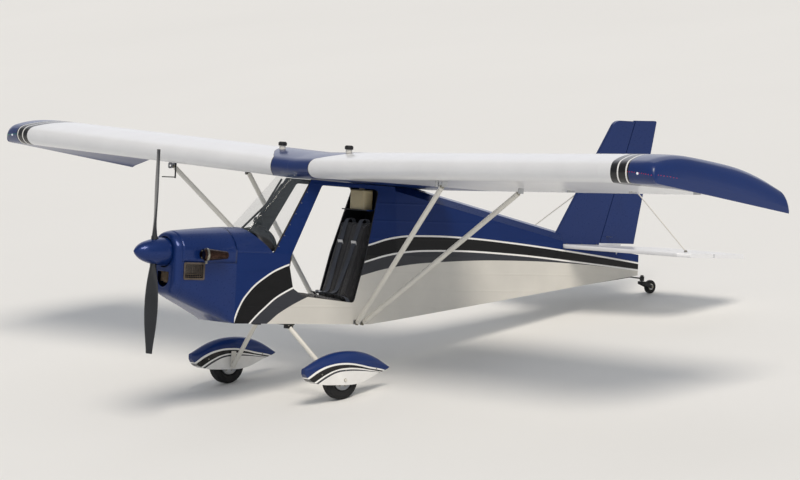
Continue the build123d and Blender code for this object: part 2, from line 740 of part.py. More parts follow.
# Lift struts with their forked ends, fuselage brackets and tie-down eyes
STRUT_FOOT_Y = HALF_WIDTH + 26
STRUT_FOOT_Z = 18
for name, sign in (("left", 1), ("right", -1)):
    top_z = lift(STRUT_TOP_Y)
    for place, top_x, foot_x in (("front", STRUT_FRONT_X, STRUT_FOOT_X),
                                 ("rear", STRUT_REAR_X, STRUT_FOOT_X - STRUT_FOOT_GAP)):
        start = (foot_x, sign * STRUT_FOOT_Y, STRUT_FOOT_Z)
        end = (top_x, sign * STRUT_TOP_Y, wing_under(top_x) + top_z - 42)
        run = at(*end) - at(*start)
        with BuildPart() as strut:
            with BuildSketch(Plane(origin=at(*start), x_dir=RIG.x_dir, z_dir=run)):
                Circle(STRUT_R)
            extrude(amount=run.length)
        save(strut, f"strut_{place}_{name}")
    with BuildPart() as strut_lugs:
        with BuildSketch(profile(sign * HALF_WIDTH)):
            with Locations((STRUT_FOOT_X - STRUT_FOOT_GAP / 2, STRUT_FOOT_Z)):
                RectangleRounded(STRUT_FOOT_GAP + 50, 34, 8)
        extrude(amount=-sign * 6)
        for top_x in (STRUT_FRONT_X, STRUT_REAR_X):
            with BuildSketch(profile(sign * (STRUT_TOP_Y + 24))):
                with Locations((top_x, wing_under(top_x) + top_z - 22)):
                    RectangleRounded(52, 40, 6)
            extrude(amount=-sign * 5)
        eye_z = wing_under(TIE_DOWN_X) + top_z - 26
        with BuildSketch(profile(sign * STRUT_TOP_Y)):
            with Locations((TIE_DOWN_X, eye_z + 2)):
                RectangleRounded(36, 46, 10)
            with Locations((TIE_DOWN_X, eye_z)):
                Circle(TIE_DOWN_R, mode=Mode.SUBTRACT)
        extrude(amount=-sign * TIE_DOWN_T)
    save(strut_lugs, f"strut_lugs_{name}")

# Main gear: braced leg, axle, bracket; the wheel; the streamlined pod
# Pod sections: station, half width, bottom, top
POD_SECTIONS = [
    (POD_NOSE_X, 22, -332, -290),
    (240, 47, -388, -256),
    (140, 64, POD_BOTTOM_Z, -208),
    (10, POD_HALF_WIDTH, POD_BOTTOM_Z, POD_TOP_Z),
    (-140, 64, POD_BOTTOM_Z + 7, -162),
    (-320, 42, -344, -194),
    (-410, 25, -313, -233),
    (POD_TAIL_X, 8, -284, -277),
]


def pod_form(y):
    """A streamlined pod: flat underneath, upright sides, its top rounded over."""
    with BuildPart() as form:
        for x, half, bottom, top in POD_SECTIONS:
            shoulder = blend(bottom, top, POD_SIDE_SHARE)
            with BuildSketch(Plane(origin=at(x, y, 0), x_dir=(0, 1, 0), z_dir=RIG.x_dir)):
                with BuildLine():
                    EllipticalCenterArc((0, shoulder), half, top - shoulder, start_angle=0, arc_size=180)
                    Polyline((-half, shoulder), (-half * 0.94, bottom), (half * 0.94, bottom), (half, shoulder))
                make_face()
        loft(ruled=False)
    return form.part


AXLE_IN = MAIN_Y - POD_HALF_WIDTH - 22
for name, sign in (("left", 1), ("right", -1)):
    with BuildPart() as pod:
        add(pod_form(sign * MAIN_Y))
        with BuildSketch(profile(sign * MAIN_Y)):
            with Locations((MAIN_X, MAIN_Z)):
                Circle(MAIN_TYRE_R + 16)
            with Locations((MAIN_X, POD_BOTTOM_Z)):
                Rectangle(2 * MAIN_TYRE_R + 32, 60)
        extrude(amount=MAIN_TYRE_W / 2 + 6, both=True, mode=Mode.SUBTRACT)
        with BuildSketch(profile(sign * MAIN_Y)):
            with Locations((MAIN_X, MAIN_Z)):
                Circle(AXLE_R + FIT)
        extrude(amount=POD_HALF_WIDTH + 5, both=True, mode=Mode.SUBTRACT)
    save(pod, f"wheel_pod_{name}")
    with BuildPart() as leg:
        add(rod((LEG_TOP_X, sign * LEG_TOP_Y, LEG_TOP_Z), (MAIN_X, sign * AXLE_IN, MAIN_Z), LEG_R))
        add(rod((MAIN_X, sign * AXLE_IN, MAIN_Z), (MAIN_X, sign * (MAIN_Y + POD_HALF_WIDTH + 6), MAIN_Z), AXLE_R))
        with BuildSketch(profile(sign * (AXLE_IN + 4))):
            with Locations((MAIN_X, MAIN_Z + 40)):
                RectangleRounded(44, 130, 8)
        extrude(amount=-sign * 6)
    save(leg, f"gear_leg_{name}")
    with BuildPart() as wheel:
        with BuildSketch(profile(sign * MAIN_Y)):
            with Locations((MAIN_X, MAIN_Z)):
                Circle(MAIN_RIM_R - SEAT)
        extrude(amount=MAIN_TYRE_W / 2 - 8, both=True)
        with BuildSketch(profile(sign * MAIN_Y)):
            with Locations((MAIN_X, MAIN_Z)):
                Circle(AXLE_R + FIT)
        extrude(amount=MAIN_TYRE_W, both=True, mode=Mode.SUBTRACT)
    save(wheel, f"hub_{name}")
    with BuildPart() as tyre:
        with BuildSketch(Plane(origin=at(MAIN_X, sign * MAIN_Y, MAIN_Z), x_dir=RIG.z_dir, z_dir=RIG.x_dir)):
            with Locations(((MAIN_TYRE_R + MAIN_RIM_R) / 2, 0)):
                RectangleRounded(MAIN_TYRE_R - MAIN_RIM_R, MAIN_TYRE_W, 24)
        revolve(axis=Axis(at(MAIN_X, sign * MAIN_Y, MAIN_Z), (0, 1, 0)), revolution_arc=360)
    save(tyre, f"tyre_{name}")

with BuildPart() as gear_bracket:
    with BuildSketch(level(-SEAT)):
        with Locations((LEG_TOP_X, 0)):
            Rectangle(90, 2 * LEG_TOP_Y + 40)
    extrude(amount=-8)
    with BuildSketch(level(-SEAT)):
        with Locations((LEG_TOP_X, LEG_TOP_Y + 4), (LEG_TOP_X, -LEG_TOP_Y - 4)):
            RectangleRounded(2 * LEG_R + 22, 52, 8)
    extrude(amount=-34)
    for sign in (1, -1):
        add(rod((LEG_TOP_X, sign * LEG_TOP_Y, LEG_TOP_Z), (MAIN_X, sign * AXLE_IN, MAIN_Z), LEG_R + FIT),
            mode=Mode.SUBTRACT)
save(gear_bracket, "gear_bracket")

# Tailwheel: spring, swivelling fork and wheel
SPRING_START_X = -3120
SPRING_BEND_X = -3520
with BuildPart() as tail_spring:
    with BuildSketch(profile()):
        with BuildLine():
            start_z = belly(SPRING_START_X) - SEAT
            bend_z = belly(SPRING_BEND_X) - SEAT
            Polyline((SPRING_START_X, start_z), (SPRING_BEND_X, bend_z), (STEER_X, SOCKET_Z + 7),
                     (STEER_X, SOCKET_Z - 5), (SPRING_BEND_X, bend_z - SPRING_T),
                     (SPRING_START_X, start_z - SPRING_T), close=True)
        make_face()
    extrude(amount=15, both=True)
    with BuildSketch(level(SOCKET_Z - SOCKET_HEIGHT / 2)):
        with Locations((STEER_X, 0)):
            Circle(STEER_PIN_R + 11)
    extrude(amount=SOCKET_HEIGHT)
    with BuildSketch(level(SOCKET_Z - SOCKET_HEIGHT)):
        with Locations((STEER_X, 0)):
            Circle(STEER_PIN_R + FIT)
    extrude(amount=2 * SOCKET_HEIGHT, mode=Mode.SUBTRACT)
save(tail_spring, "tail_spring")

with BuildPart() as tail_fork:
    fork_top = SOCKET_Z - SOCKET_HEIGHT / 2 - 3
    with BuildSketch(level(fork_top - 22)):
        with Locations((STEER_X, 0)):
            RectangleRounded(32, TAIL_TYRE_W + 24, 5)
    extrude(amount=22)
    with BuildSketch(level(fork_top - 5)):
        with Locations((STEER_X, 0)):
            Circle(STEER_PIN_R)
    extrude(amount=SOCKET_HEIGHT + 16)
    with BuildSketch(level(SOCKET_Z + SOCKET_HEIGHT / 2 + 3)):
        with Locations((STEER_X, 0)):
            Circle(STEER_PIN_R + 6)
    extrude(amount=6)
    for sign in (1, -1):
        with BuildSketch(profile(sign * (TAIL_TYRE_W / 2 + 6))):
            with BuildLine():
                Polyline((STEER_X + 16, fork_top - 22), (STEER_X + 16, fork_top), (STEER_X - 16, fork_top),
                         (TAIL_X - 13, TAIL_Z + 8), (TAIL_X - 6, TAIL_Z - 13), (TAIL_X + 10, TAIL_Z - 13), close=True)
            make_face()
        extrude(amount=-sign * 6)
    with BuildSketch(profile()):
        with Locations((TAIL_X, TAIL_Z)):
            Circle(TAIL_AXLE_R)
    extrude(amount=TAIL_TYRE_W / 2 + 14, both=True)
save(tail_fork, "tail_fork")

with BuildPart() as tail_hub:
    with BuildSketch(profile()):
        with Locations((TAIL_X, TAIL_Z)):
            Circle(TAIL_RIM_R - SEAT)
            Circle(TAIL_AXLE_R + FIT, mode=Mode.SUBTRACT)
    extrude(amount=TAIL_TYRE_W / 2 - 3, both=True)
save(tail_hub, "tail_hub")

with BuildPart() as tail_tyre:
    with BuildSketch(Plane(origin=at(TAIL_X, 0, TAIL_Z), x_dir=RIG.z_dir, z_dir=RIG.x_dir)):
        with Locations(((TAIL_TYRE_R + TAIL_RIM_R) / 2, 0)):
            RectangleRounded(TAIL_TYRE_R - TAIL_RIM_R, TAIL_TYRE_W, 12)
    revolve(axis=Axis(at(TAIL_X, 0, TAIL_Z), (0, 1, 0)), revolution_arc=360)
save(tail_tyre, "tail_tyre")

# Stabiliser and elevator
STAB_MID_Z = TAIL_SEAT_Z + SEAT + STAB_T / 2
with BuildPart() as stabiliser:
    with BuildSketch(level(TAIL_SEAT_Z + SEAT)):
        with BuildLine():
            Polyline((STAB_HINGE_X + 16, 0), (STAB_HINGE_X + 16, STAB_HALF_SPAN), (STAB_TIP_LE_X - 60, STAB_HALF_SPAN),
                     (STAB_TIP_LE_X + 20, STAB_HALF_SPAN - 70), (STAB_ROOT_LE_X, 100), (STAB_ROOT_LE_X, 0), close=True)
        make_face()
        mirror(about=Plane.XZ)
    extrude(amount=STAB_T)
    fillet(stabiliser.edges().filter_by_position(Axis(at(0, 0, 0), RIG.x_dir), STAB_TIP_LE_X - 70, STAB_ROOT_LE_X + 1)
           .filter_by(lambda e: abs((e @ 0 - e @ 1).dot(RIG.z_dir)) < 1 and e.length > 60), 12)
save(stabiliser, "stabiliser")

HINGE_TUBE_R = 11
ELEVATOR_NOSE = STAB_HINGE_X - 2
with BuildPart() as elevator:
    with BuildSketch(level(TAIL_SEAT_Z + SEAT + 1)):
        with BuildLine():
            Polyline((ELEVATOR_NOSE, 62), (ELEVATOR_NOSE, STAB_HALF_SPAN), (ELEVATOR_TE_X + 90, STAB_HALF_SPAN),
                     (ELEVATOR_TE_X, STAB_HALF_SPAN - 120), (ELEVATOR_TE_X, 262), close=True)
        make_face()
        mirror(about=Plane.XZ)
    extrude(amount=STAB_T - 2)
    with BuildSketch(profile()):
        with Locations((STAB_HINGE_X, STAB_MID_Z)):
            Circle(HINGE_TUBE_R)
    extrude(amount=200, both=True)
save(elevator, "elevator")

# Fin and rudder
def rudder_hinge(z, back=0):
    """Side-view point on the rudder's leaning hinge line."""
    return (RUDDER_HINGE_LOW_X - (z - RUDDER_BOTTOM_Z) * RUDDER_HINGE_LEAN - back, z)


with BuildPart() as fin:
    with BuildSketch(profile()):
        with BuildLine():
            fin_foot = TAIL_SEAT_Z + 2 * SEAT + STAB_T
            Polyline((TAIL_SEAT_X - SEAT, fin_foot), (TAIL_SEAT_X - SEAT, DECK_RIDGE_REAR_Z - 6),
                     (FIN_LE_TOP_X, FIN_TOP_Z), rudder_hinge(FIN_TOP_Z), rudder_hinge(fin_foot), close=True)
        make_face()
        fillet(vertices().group_by(Axis.Y)[-1].sort_by(Axis.X)[-1:], FIN_CORNER_R)
    extrude(amount=FIN_T / 2, both=True)
save(fin, "fin")

with BuildPart() as rudder:
    with BuildSketch(profile()):
        with BuildLine():
            Polyline(rudder_hinge(RUDDER_BOTTOM_Z, 8), rudder_hinge(FIN_TOP_Z + 6, 8), (RUDDER_TE_HIGH_X, FIN_TOP_Z + 12),
                     (RUDDER_TE_LOW_X, RUDDER_BOTTOM_Z), close=True)
        make_face()
        fillet(vertices().sort_by(Axis.X)[:1], RUDDER_CORNER_R)
    extrude(amount=FIN_T / 2 - 1, both=True)
save(rudder, "rudder")

for name, sign in (("left", 1), ("right", -1)):
    with BuildPart() as tail_brace:
        add(rod((TAIL_BRACE_X, sign * (FIN_T / 2 + 6), TAIL_BRACE_TOP_Z),
                (STAB_HINGE_X + 60, sign * TAIL_BRACE_FOOT_Y, TAIL_SEAT_Z + STAB_T + 6), TAIL_BRACE_R))
    save(tail_brace, f"tail_brace_{name}")

# Fuel fillers and the air-speed probe
with BuildSketch() as wing_skin:
    add(wing_section)
    offset(amount=FIT)
for name, sign in (("left", 1), ("right", -1)):
    with BuildPart() as filler:
        with BuildSketch(level(FILLER_Z - 50)):
            with Locations((FILLER_X, sign * FILLER_Y)):
                Circle(FILLER_R)
        extrude(amount=50)
        add(wing_slab(wing_skin.sketch, FILLER_Y - 60, FILLER_Y + 60, sign), mode=Mode.SUBTRACT)
        with BuildSketch(level(FILLER_Z)):
            with Locations((FILLER_X, sign * FILLER_Y)):
                Circle(FILLER_R + 6)
        extrude(amount=24)
    save(filler, f"fuel_filler_{name}")

PROBE_X = -95
PROBE_Y = -1540
with BuildPart() as probe:
    probe_top = wing_under(PROBE_X) + lift(PROBE_Y) - SEAT
    add(rod((PROBE_X, PROBE_Y, probe_top), (PROBE_X, PROBE_Y, probe_top - 118), 6))
    add(rod((PROBE_X, PROBE_Y, probe_top - 110), (PROBE_X + 125, PROBE_Y, probe_top - 110), 4))
save(probe, "airspeed_probe")

# Cabin fittings
with BuildPart() as seat_base:
    with BuildSketch(profile()):
        with BuildLine():
            Polyline((-150, SKIN + SEAT), (-150, 190), (-175, 225), (-470, 175), (-480, SKIN + SEAT), close=True)
        make_face()
    extrude(amount=SEAT_HALF_WIDTH, both=True)
save(seat_base, "seat_cushion")

with BuildPart() as seat_back:
    with BuildSketch(profile()):
        with BuildLine():
            Polyline((-476, 180), (-655, 760), (-700, 775), (-738, 750), (-560, 150), (-500, 150), close=True)
        make_face()
    extrude(amount=SEAT_HALF_WIDTH - 5, both=True)
save(seat_back, "seat_back")

with BuildPart() as panel:
    with BuildSketch(Plane(origin=at(330, 0, 560), x_dir=(0, 1, 0), z_dir=RIG.x_dir)):
        with BuildLine():
            half = HALF_WIDTH - SKIN - 6
            Polyline((half, -35), (half, -150), (-half, -150), (-half, -35))
            ThreePointArc((-half, -35), (0, 118), (half, -35))
        make_face()
    extrude(amount=6)
save(panel, "instrument_panel")

with BuildPart() as stick:
    add(rod((-60, 0, SKIN + 2), (-40, 0, 420), 11))
    add(rod((-40, 0, 419), (-58, 0, 540), 17))
save(stick, "control_stick")

with BuildPart() as header_tank:
    with BuildSketch(level(SHELF_Z + SEAT)):
        with Locations((TANK_X, 0)):
            RectangleRounded(TANK_LENGTH, TANK_WIDTH, 22)
    extrude(amount=TANK_HEIGHT)
    fillet(header_tank.faces().sort_by(Axis(at(0, 0, 0), RIG.z_dir))[-1].edges(), 14)
    with BuildSketch(level(SHELF_Z + SEAT + TANK_HEIGHT - 1)):
        with Locations((TANK_X, 0)):
            Circle(TANK_NECK_R)
    extrude(amount=15)
save(header_tank, "header_tank")
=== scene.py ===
"""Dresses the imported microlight: paint, covering, seat, cockpit, fittings, floor, lamps and camera."""
import json
from functools import partial
from math import atan2, cos, pi, radians, sin

import bmesh
import bpy
from bpy.props import FloatProperty, FloatVectorProperty, IntProperty, PointerProperty
from mathutils import Matrix, Vector

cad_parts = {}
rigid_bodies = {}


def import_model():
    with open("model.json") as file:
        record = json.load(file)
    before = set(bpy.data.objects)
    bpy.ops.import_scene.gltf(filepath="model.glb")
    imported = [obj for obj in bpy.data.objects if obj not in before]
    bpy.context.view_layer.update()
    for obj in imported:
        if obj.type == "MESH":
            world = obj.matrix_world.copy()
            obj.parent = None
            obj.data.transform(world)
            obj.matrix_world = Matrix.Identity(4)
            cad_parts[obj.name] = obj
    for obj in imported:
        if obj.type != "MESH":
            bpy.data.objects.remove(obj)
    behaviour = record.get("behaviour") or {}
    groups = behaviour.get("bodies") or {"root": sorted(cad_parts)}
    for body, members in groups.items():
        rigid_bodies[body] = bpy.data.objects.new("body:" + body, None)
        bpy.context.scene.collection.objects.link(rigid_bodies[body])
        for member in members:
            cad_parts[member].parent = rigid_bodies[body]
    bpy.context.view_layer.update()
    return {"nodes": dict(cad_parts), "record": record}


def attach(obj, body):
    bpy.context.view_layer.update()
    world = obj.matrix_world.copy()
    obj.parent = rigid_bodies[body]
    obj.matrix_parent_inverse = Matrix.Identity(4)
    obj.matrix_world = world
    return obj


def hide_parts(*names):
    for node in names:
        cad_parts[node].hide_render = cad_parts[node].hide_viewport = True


for leftover in list(bpy.data.objects):
    bpy.data.objects.remove(leftover)
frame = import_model()

bl_info = {
    "name": "Microlight dressing",
    "version": (1, 0, 0),
    "blender": (4, 5, 0),
    "location": "View3D > Sidebar > Microlight",
    "description": "Paint, covering, seat, cockpit and fittings of a high-wing microlight",
    "category": "Object",
}

# The rigging frame: x forward, y to the left, z up, square to the thrust line. Lengths in metres.
JOINTS = {joint["name"]: joint for joint in frame["record"]["behaviour"]["joints"]}
RIG_X = Vector(JOINTS["propeller_spin"]["axis"])
RIG_Y = Vector((0.0, 1.0, 0.0))
RIG_Z = Vector(JOINTS["tail_steer"]["axis"])
MAIN_WHEEL = (-0.037, 0.688, -0.371)
RIG_ORIGIN = (Vector(JOINTS["wheel_left_roll"]["pos_m"]) - RIG_X * MAIN_WHEEL[0] - RIG_Y * MAIN_WHEEL[1]
              - RIG_Z * MAIN_WHEEL[2])
PARK_ANGLE = atan2(RIG_X.z, RIG_X.x)
SIDES = (("left", 1), ("right", -1))
TAIL_WHEEL = (-3.76, 0.0, 0.304)
THRUST_Z = 0.503


def at(x, y, z):
    """A rigging point in the scene."""
    return RIG_ORIGIN + RIG_X * x + RIG_Y * y + RIG_Z * z


def along(x, y, z):
    """A rigging direction in the scene."""
    return (RIG_X * x + RIG_Y * y + RIG_Z * z).normalized()


def srgb(code):
    """An sRGB hex colour as linear red, green and blue."""
    parts = [int(code[i:i + 2], 16) / 255 for i in (1, 3, 5)]
    return tuple(p / 12.92 if p <= 0.04045 else ((p + 0.055) / 1.055) ** 2.4 for p in parts)


def colour(name, description, code):
    return FloatVectorProperty(name=name, description=description, subtype="COLOR", default=srgb(code), min=0,
                               max=1)


class LiveryColours(bpy.types.PropertyGroup):
    """Colours of the paint scheme."""
    blue: colour("Blue", "Metallic blue of the cowl, decking, tips and tail", "#0a2b68")
    black: colour("Band", "Black band between the pin lines", "#08080b")
    grey: colour("Shadow band", "Dark grey band under the black one", "#37393f")
    cream: colour("Lower sides", "Off-white of the lower fuselage sides", "#dcd9d1")
    white: colour("Wing", "White of the wings and tailplane", "#e9eaec")
    pin: colour("Pin line", "White of the pin lines", "#f2f1ee")
    tube: colour("Struts", "Cream of the struts and gear legs", "#e2dfd6")


class CabinColours(bpy.types.PropertyGroup):
    """Colours of the cabin."""
    cloth: colour("Seat cloth", "Charcoal cloth of the seat", "#2b2a2c")
    strap: colour("Webbing", "Harness webbing", "#39404e")
    panel: colour("Panel", "Instrument panel", "#232427")
    # Dark grey painted on the faces inside the cabin: painted shade, standing for the shade in there
    board: colour("Cabin sides", "Painted inner faces of the cabin", "#2c2d31")
    tank: colour("Flask", "Translucent container behind the seat", "#cdbf98")


def length(name, description, metres):
    return FloatProperty(name=name, description=description, default=metres, unit="LENGTH")


def power(name, lamp, watts):
    return FloatProperty(name=name, description=f"Strength of {lamp} in watts a square metre", default=watts)


class FittingSizes(bpy.types.PropertyGroup):
    """Sizes of lines, tapes and fittings."""
    pin_width: length("Pin line", "Width of a pin line", 0.013)
    rib_pitch: length("Rib pitch", "Distance between two ribs", 0.305)
    tape_width: length("Rib tape", "Width of a rib tape", 0.045)
    bolt: length("Bolt", "Width of a bolt head across its flats", 0.011)
    strap_width: length("Strap", "Width of the webbing", 0.045)
    lights: IntProperty(name="Tip lights", description="Small lamps along each wing tip", default=18, min=2)


class StageSettings(bpy.types.PropertyGroup):
    """Floor and lamps."""
    floor: colour("Floor", "Pale floor and backdrop", "#eeeeec")
    key: power("Key", "the key lamp", 1.9)
    fill: power("Fill", "each fill lamp", 0.5)
    sky: power("Sky", "the even light from all sides", 0.4)


GROUPS = {"microlight_livery": LiveryColours, "microlight_cabin": CabinColours,
          "microlight_sizes": FittingSizes, "microlight_stage": StageSettings}


def chosen(name):
    """A colour, size or strength as the sidebar has it."""
    return next(getattr(getattr(bpy.context.scene, group), name) for group, kind in GROUPS.items()
                if name in kind.__annotations__)


# Nodes


def add_node(tree, kind, *values, inputs=None, **settings):
    """Adds a node, its operation after a full stop; fills or links its inputs in order, then by name."""
    kind, _, operation = kind.partition(".")
    node = tree.nodes.new("ShaderNode" + kind)
    if operation:
        node.operation = operation
    for name, value in settings.items():
        setattr(node, name, value)
    for key, value in (*enumerate(values), *(inputs or {}).items()):
        if isinstance(value, bpy.types.Node):
            value = value.outputs[0]
        if isinstance(value, bpy.types.NodeSocket):
            tree.links.new(value, node.inputs[key])
        elif isinstance(node.inputs[key], bpy.types.NodeSocketColor):
            node.inputs[key].default_value = (*tuple(value)[:3], 1)
        else:
            node.inputs[key].default_value = value
    return node


def emptied(owner):
    """Clears the nodes of a material or a world, and gives the function that adds to them."""
    owner.use_nodes = True
    owner.node_tree.nodes.clear()
    return partial(add_node, owner.node_tree)


def rig_place(put):
    """Sockets of the shaded point's place in the rigging frame."""
    place = put("TexCoord").outputs["Object"]
    shift = (-RIG_ORIGIN.dot(RIG_X), -RIG_ORIGIN.dot(RIG_Y), -RIG_ORIGIN.dot(RIG_Z))
    turned_place = put("Mapping", inputs={"Vector": place, "Rotation": (0, PARK_ANGLE, 0), "Location": shift})
    return put("SeparateXYZ", turned_place).outputs


def faces(put, way):
    """How squarely the surface faces a direction of the rigging frame."""
    return put("VectorMath.DOT_PRODUCT", put("TexCoord").outputs["Normal"], way).outputs["Value"]


def within(put, value, half):
    """One where a value is nearer to nought than half a width."""
    return put("Math.LESS_THAN", put("Math.ABSOLUTE", value), half)


def edge(put, run, points, span, reach):
    """The height of a painted edge over its run, a smooth line through a few points."""
    wide, high = span[1] - span[0], reach[1] - reach[0]
    share = put("Math.DIVIDE", put("Math.SUBTRACT", run, span[0]), wide)
    line = put("FloatCurve", inputs={"Value": share})
    curve = line.mapping.curves[0]
    marks = sorted(((x - span[0]) / wide, (z - reach[0]) / high) for x, z in points)
    for mark in marks[1:-1]:
        curve.points.new(*mark)
    curve.points[0].location = marks[0]
    curve.points[len(marks) - 1].location = marks[-1]
    line.mapping.update()
    return put("Math.MULTIPLY_ADD", line, high, reach[0])


def layered(put, under, layers):
    """Colours laid over one another, each where its mask is one."""
    for mask, over in layers:
        under = put("Mix", inputs={0: mask, 6: under, 7: over}, data_type="RGBA").outputs[2]
    return under


def shaded(put, base, pattern, span, shades):
    """The colour, made darker or lighter by a pattern."""
    shade = put("MapRange", pattern, *span, *shades)
    return put("Mix", inputs={0: 1.0, 6: base, 7: shade}, data_type="RGBA", blend_type="MULTIPLY").outputs[2]


def cloud(put, size_mm, detail, stretch=(1, 1, 1)):
    """Noise with its grain at a real size."""
    place = put("TexCoord").outputs["Object"]
    place = put("Mapping", inputs={"Vector": place, "Scale": stretch})
    return put("TexNoise", inputs={"Vector": place, "Scale": 1000 / size_mm, "Detail": detail})


CLOUD_SPAN = (0.3, 0.7)


def mottled(put, base, size_mm, depth):
    """The colour with a slow drift in depth, as dust, fading and handling leave."""
    return shaded(put, base, cloud(put, size_mm, 4.0), CLOUD_SPAN, (1 - depth, 1.0))


def relief(put, size_mm, depth_mm, stretch=(1, 1, 1)):
    """A bump of the given grain and depth, and the grain itself."""
    grain = cloud(put, size_mm, 3.0, stretch)
    return put("Bump", inputs={"Strength": 1.0, "Distance": depth_mm / 1000, "Height": grain}), grain


def threads(put, run, pitch):
    """Waves over a run, as threads, ribs and wires make."""
    return put("Math.SINE", put("Math.MULTIPLY", run, 2 * pi / pitch))


# Materials: each function gives the inputs of the shader

DRIFT_MM = 120
GLOSS_DRIFT = 0.08


def plain(put, code, roughness, grain_mm, depth_mm, drift_mm, drift, sockets=None, stretch=(1, 1, 1)):
    """A surface of one colour, with its grain, its uneven gloss and its slow drift in depth."""
    bump, grain = relief(put, grain_mm, depth_mm, stretch)
    rough = put("MapRange", grain, *CLOUD_SPAN, roughness - GLOSS_DRIFT, roughness + GLOSS_DRIFT)
    base = srgb(code) if code.startswith("#") else chosen(code)
    base = mottled(put, base, drift_mm, drift)
    return {"Base Color": base, "Roughness": rough, "Normal": bump, **(sockets or {})}


# Pin lines and bands along the fuselage side: station and height of each edge
UPPER_PIN = [(0.607, 0.0), (0.56, 0.12), (0.503, 0.205), (0.363, 0.324), (0.146, 0.428), (-0.2, 0.51),
             (-0.603, 0.588), (-0.931, 0.66), (-1.209, 0.672), (-1.619, 0.665), (-2.099, 0.636),
             (-2.847, 0.571), (-3.6, 0.492)]
LOWER_PIN = [(0.607, -0.16), (0.48, -0.02), (0.332, 0.112), (0.169, 0.222), (-0.2, 0.36), (-0.582, 0.464),
             (-0.939, 0.541), (-1.392, 0.563), (-2.107, 0.546), (-2.853, 0.495), (-3.6, 0.436)]
GREY_EDGE = [(0.607, -0.19), (0.3, 0.0), (0.169, 0.09), (-0.2, 0.25), (-0.56, 0.362), (-0.945, 0.442),
             (-1.515, 0.484), (-2.111, 0.497), (-2.853, 0.48), (-3.6, 0.43)]
SIDE_SPAN = (-3.6, 0.607)
SIDE_REACH = (-0.2, 0.8)
SLOPE_STEP = 0.02
STRINGER_GAP = 0.13
CABIN_HALF = 0.2195
BULKHEAD_X = -0.905


def blue_flakes(put):
    """Metallic blue with the fine glitter of flakes: 0.3 mm in the can, drawn 3 mm wide so that they show."""
    base = mottled(put, chosen("blue"), 400, 0.1)
    place = put("TexCoord").outputs["Object"]
    cells = put("TexVoronoi", inputs={"Vector": place, "Scale": 340.0})
    return shaded(put, base, cells, (0.0, 0.9), (1.08, 0.93))


def blue_lacquer(put):
    """Two-pack metallic lacquer sprayed on glass fibre and filled cloth: deep, clear, slightly rippled."""
    bump, grain = relief(put, 9, 0.02)
    return {"Base Color": blue_flakes(put), "Metallic": 0.35, "Specular IOR Level": 0.3,
            "Roughness": put("MapRange", grain, *CLOUD_SPAN, 0.26, 0.36), "Coat Weight": 0.3,
            "Coat Roughness": 0.06, "IOR": 1.5, "Normal": bump, "Coat Normal": bump}


def fuselage_covering(put):
    """Polyester cloth shrunk over the frame and sprayed in the scheme: satin, with faint longeron lines."""
    x, y, z = rig_place(put)
    over, half = [], []
    for points in (UPPER_PIN, LOWER_PIN, GREY_EDGE):
        here = edge(put, x, points, SIDE_SPAN, SIDE_REACH)
        ahead = edge(put, put("Math.ADD", x, SLOPE_STEP), points, SIDE_SPAN, SIDE_REACH)
        slope = put("Math.DIVIDE", put("Math.SUBTRACT", ahead, here), SLOPE_STEP)
        steep = put("Math.SQRT", put("Math.MULTIPLY_ADD", slope, slope, 1.0))
        over.append(put("Math.SUBTRACT", z, here))
        half.append(put("Math.MULTIPLY", steep, chosen("pin_width") / 2))
    blue, black, grey = [put("Math.GREATER_THAN", height, 0.0) for height in over]
    # Painted shade: the faces that look into the cabin get dark grey in place of the shade inside it
    base = layered(put, mottled(put, chosen("cream"), 260, 0.08), (
        (grey, chosen("grey")), (black, chosen("black")), (blue, blue_flakes(put)),
        (within(put, over[1], half[1]), chosen("pin")), (within(put, over[0], half[0]), chosen("pin")),
        (cabin_faces(put, x, y), mottled(put, chosen("board"), 60, 0.25))))
    # Shallow ridges where the cloth lies over the side stringers
    gap = put("Math.PINGPONG", z, STRINGER_GAP / 2)
    ridge = put("MapRange", gap, 0.0, 0.012, 1.0, 0.0, interpolation_type="SMOOTHSTEP")
    weave, _ = relief(put, 1.6, 0.03)
    bump = put("Bump", inputs={"Strength": 1.0, "Distance": 0.0008, "Height": ridge, "Normal": weave})
    return {"Base Color": base, "Metallic": put("MapRange", blue, 0.0, 1.0, 0.0, 0.35), "Roughness": 0.34,
            "Specular IOR Level": 0.22, "Coat Weight": 0.08, "Coat Roughness": 0.12, "IOR": 1.5,
            "Normal": bump}


def cabin_faces(put, x, y):
    """One on the faces that look into the cabin, which get the painted cabin shade: inwards, or forwards and
    up on bulkhead and floor.
    """
    inwards = put("Math.MULTIPLY", faces(put, RIG_Y), put("Math.SIGN", y))
    closed = put("Math.MAXIMUM", faces(put, RIG_X), faces(put, RIG_Z))
    closed = put("Math.GREATER_THAN", closed, 0.7)
    closed = put("Math.MULTIPLY", closed, within(put, y, CABIN_HALF))
    closed = put("Math.MULTIPLY", closed, put("Math.GREATER_THAN", x, BULKHEAD_X))
    return put("Math.MAXIMUM", put("Math.LESS_THAN", inwards, -0.5), closed)


# Edge of the blue centre section over the chord: rigging x, then distance from the centre plane
BLUE_EDGE = [(-1.4, 0.74), (-0.8, 0.66), (-0.4, 0.54), (-0.2, 0.42), (-0.08, 0.29), (-0.03, 0.235),
             (0.1, 0.22)]
# Stripes round each wing tip: distance from the centre plane at the leading edge where each colour starts
TIP_BLACK = 3.495
TIP_PINS = (3.565, 3.645)
TIP_BLUE = 3.665
STRIPE_SWEEP = 0.42
STRIPE_SWEEP_END = 0.3


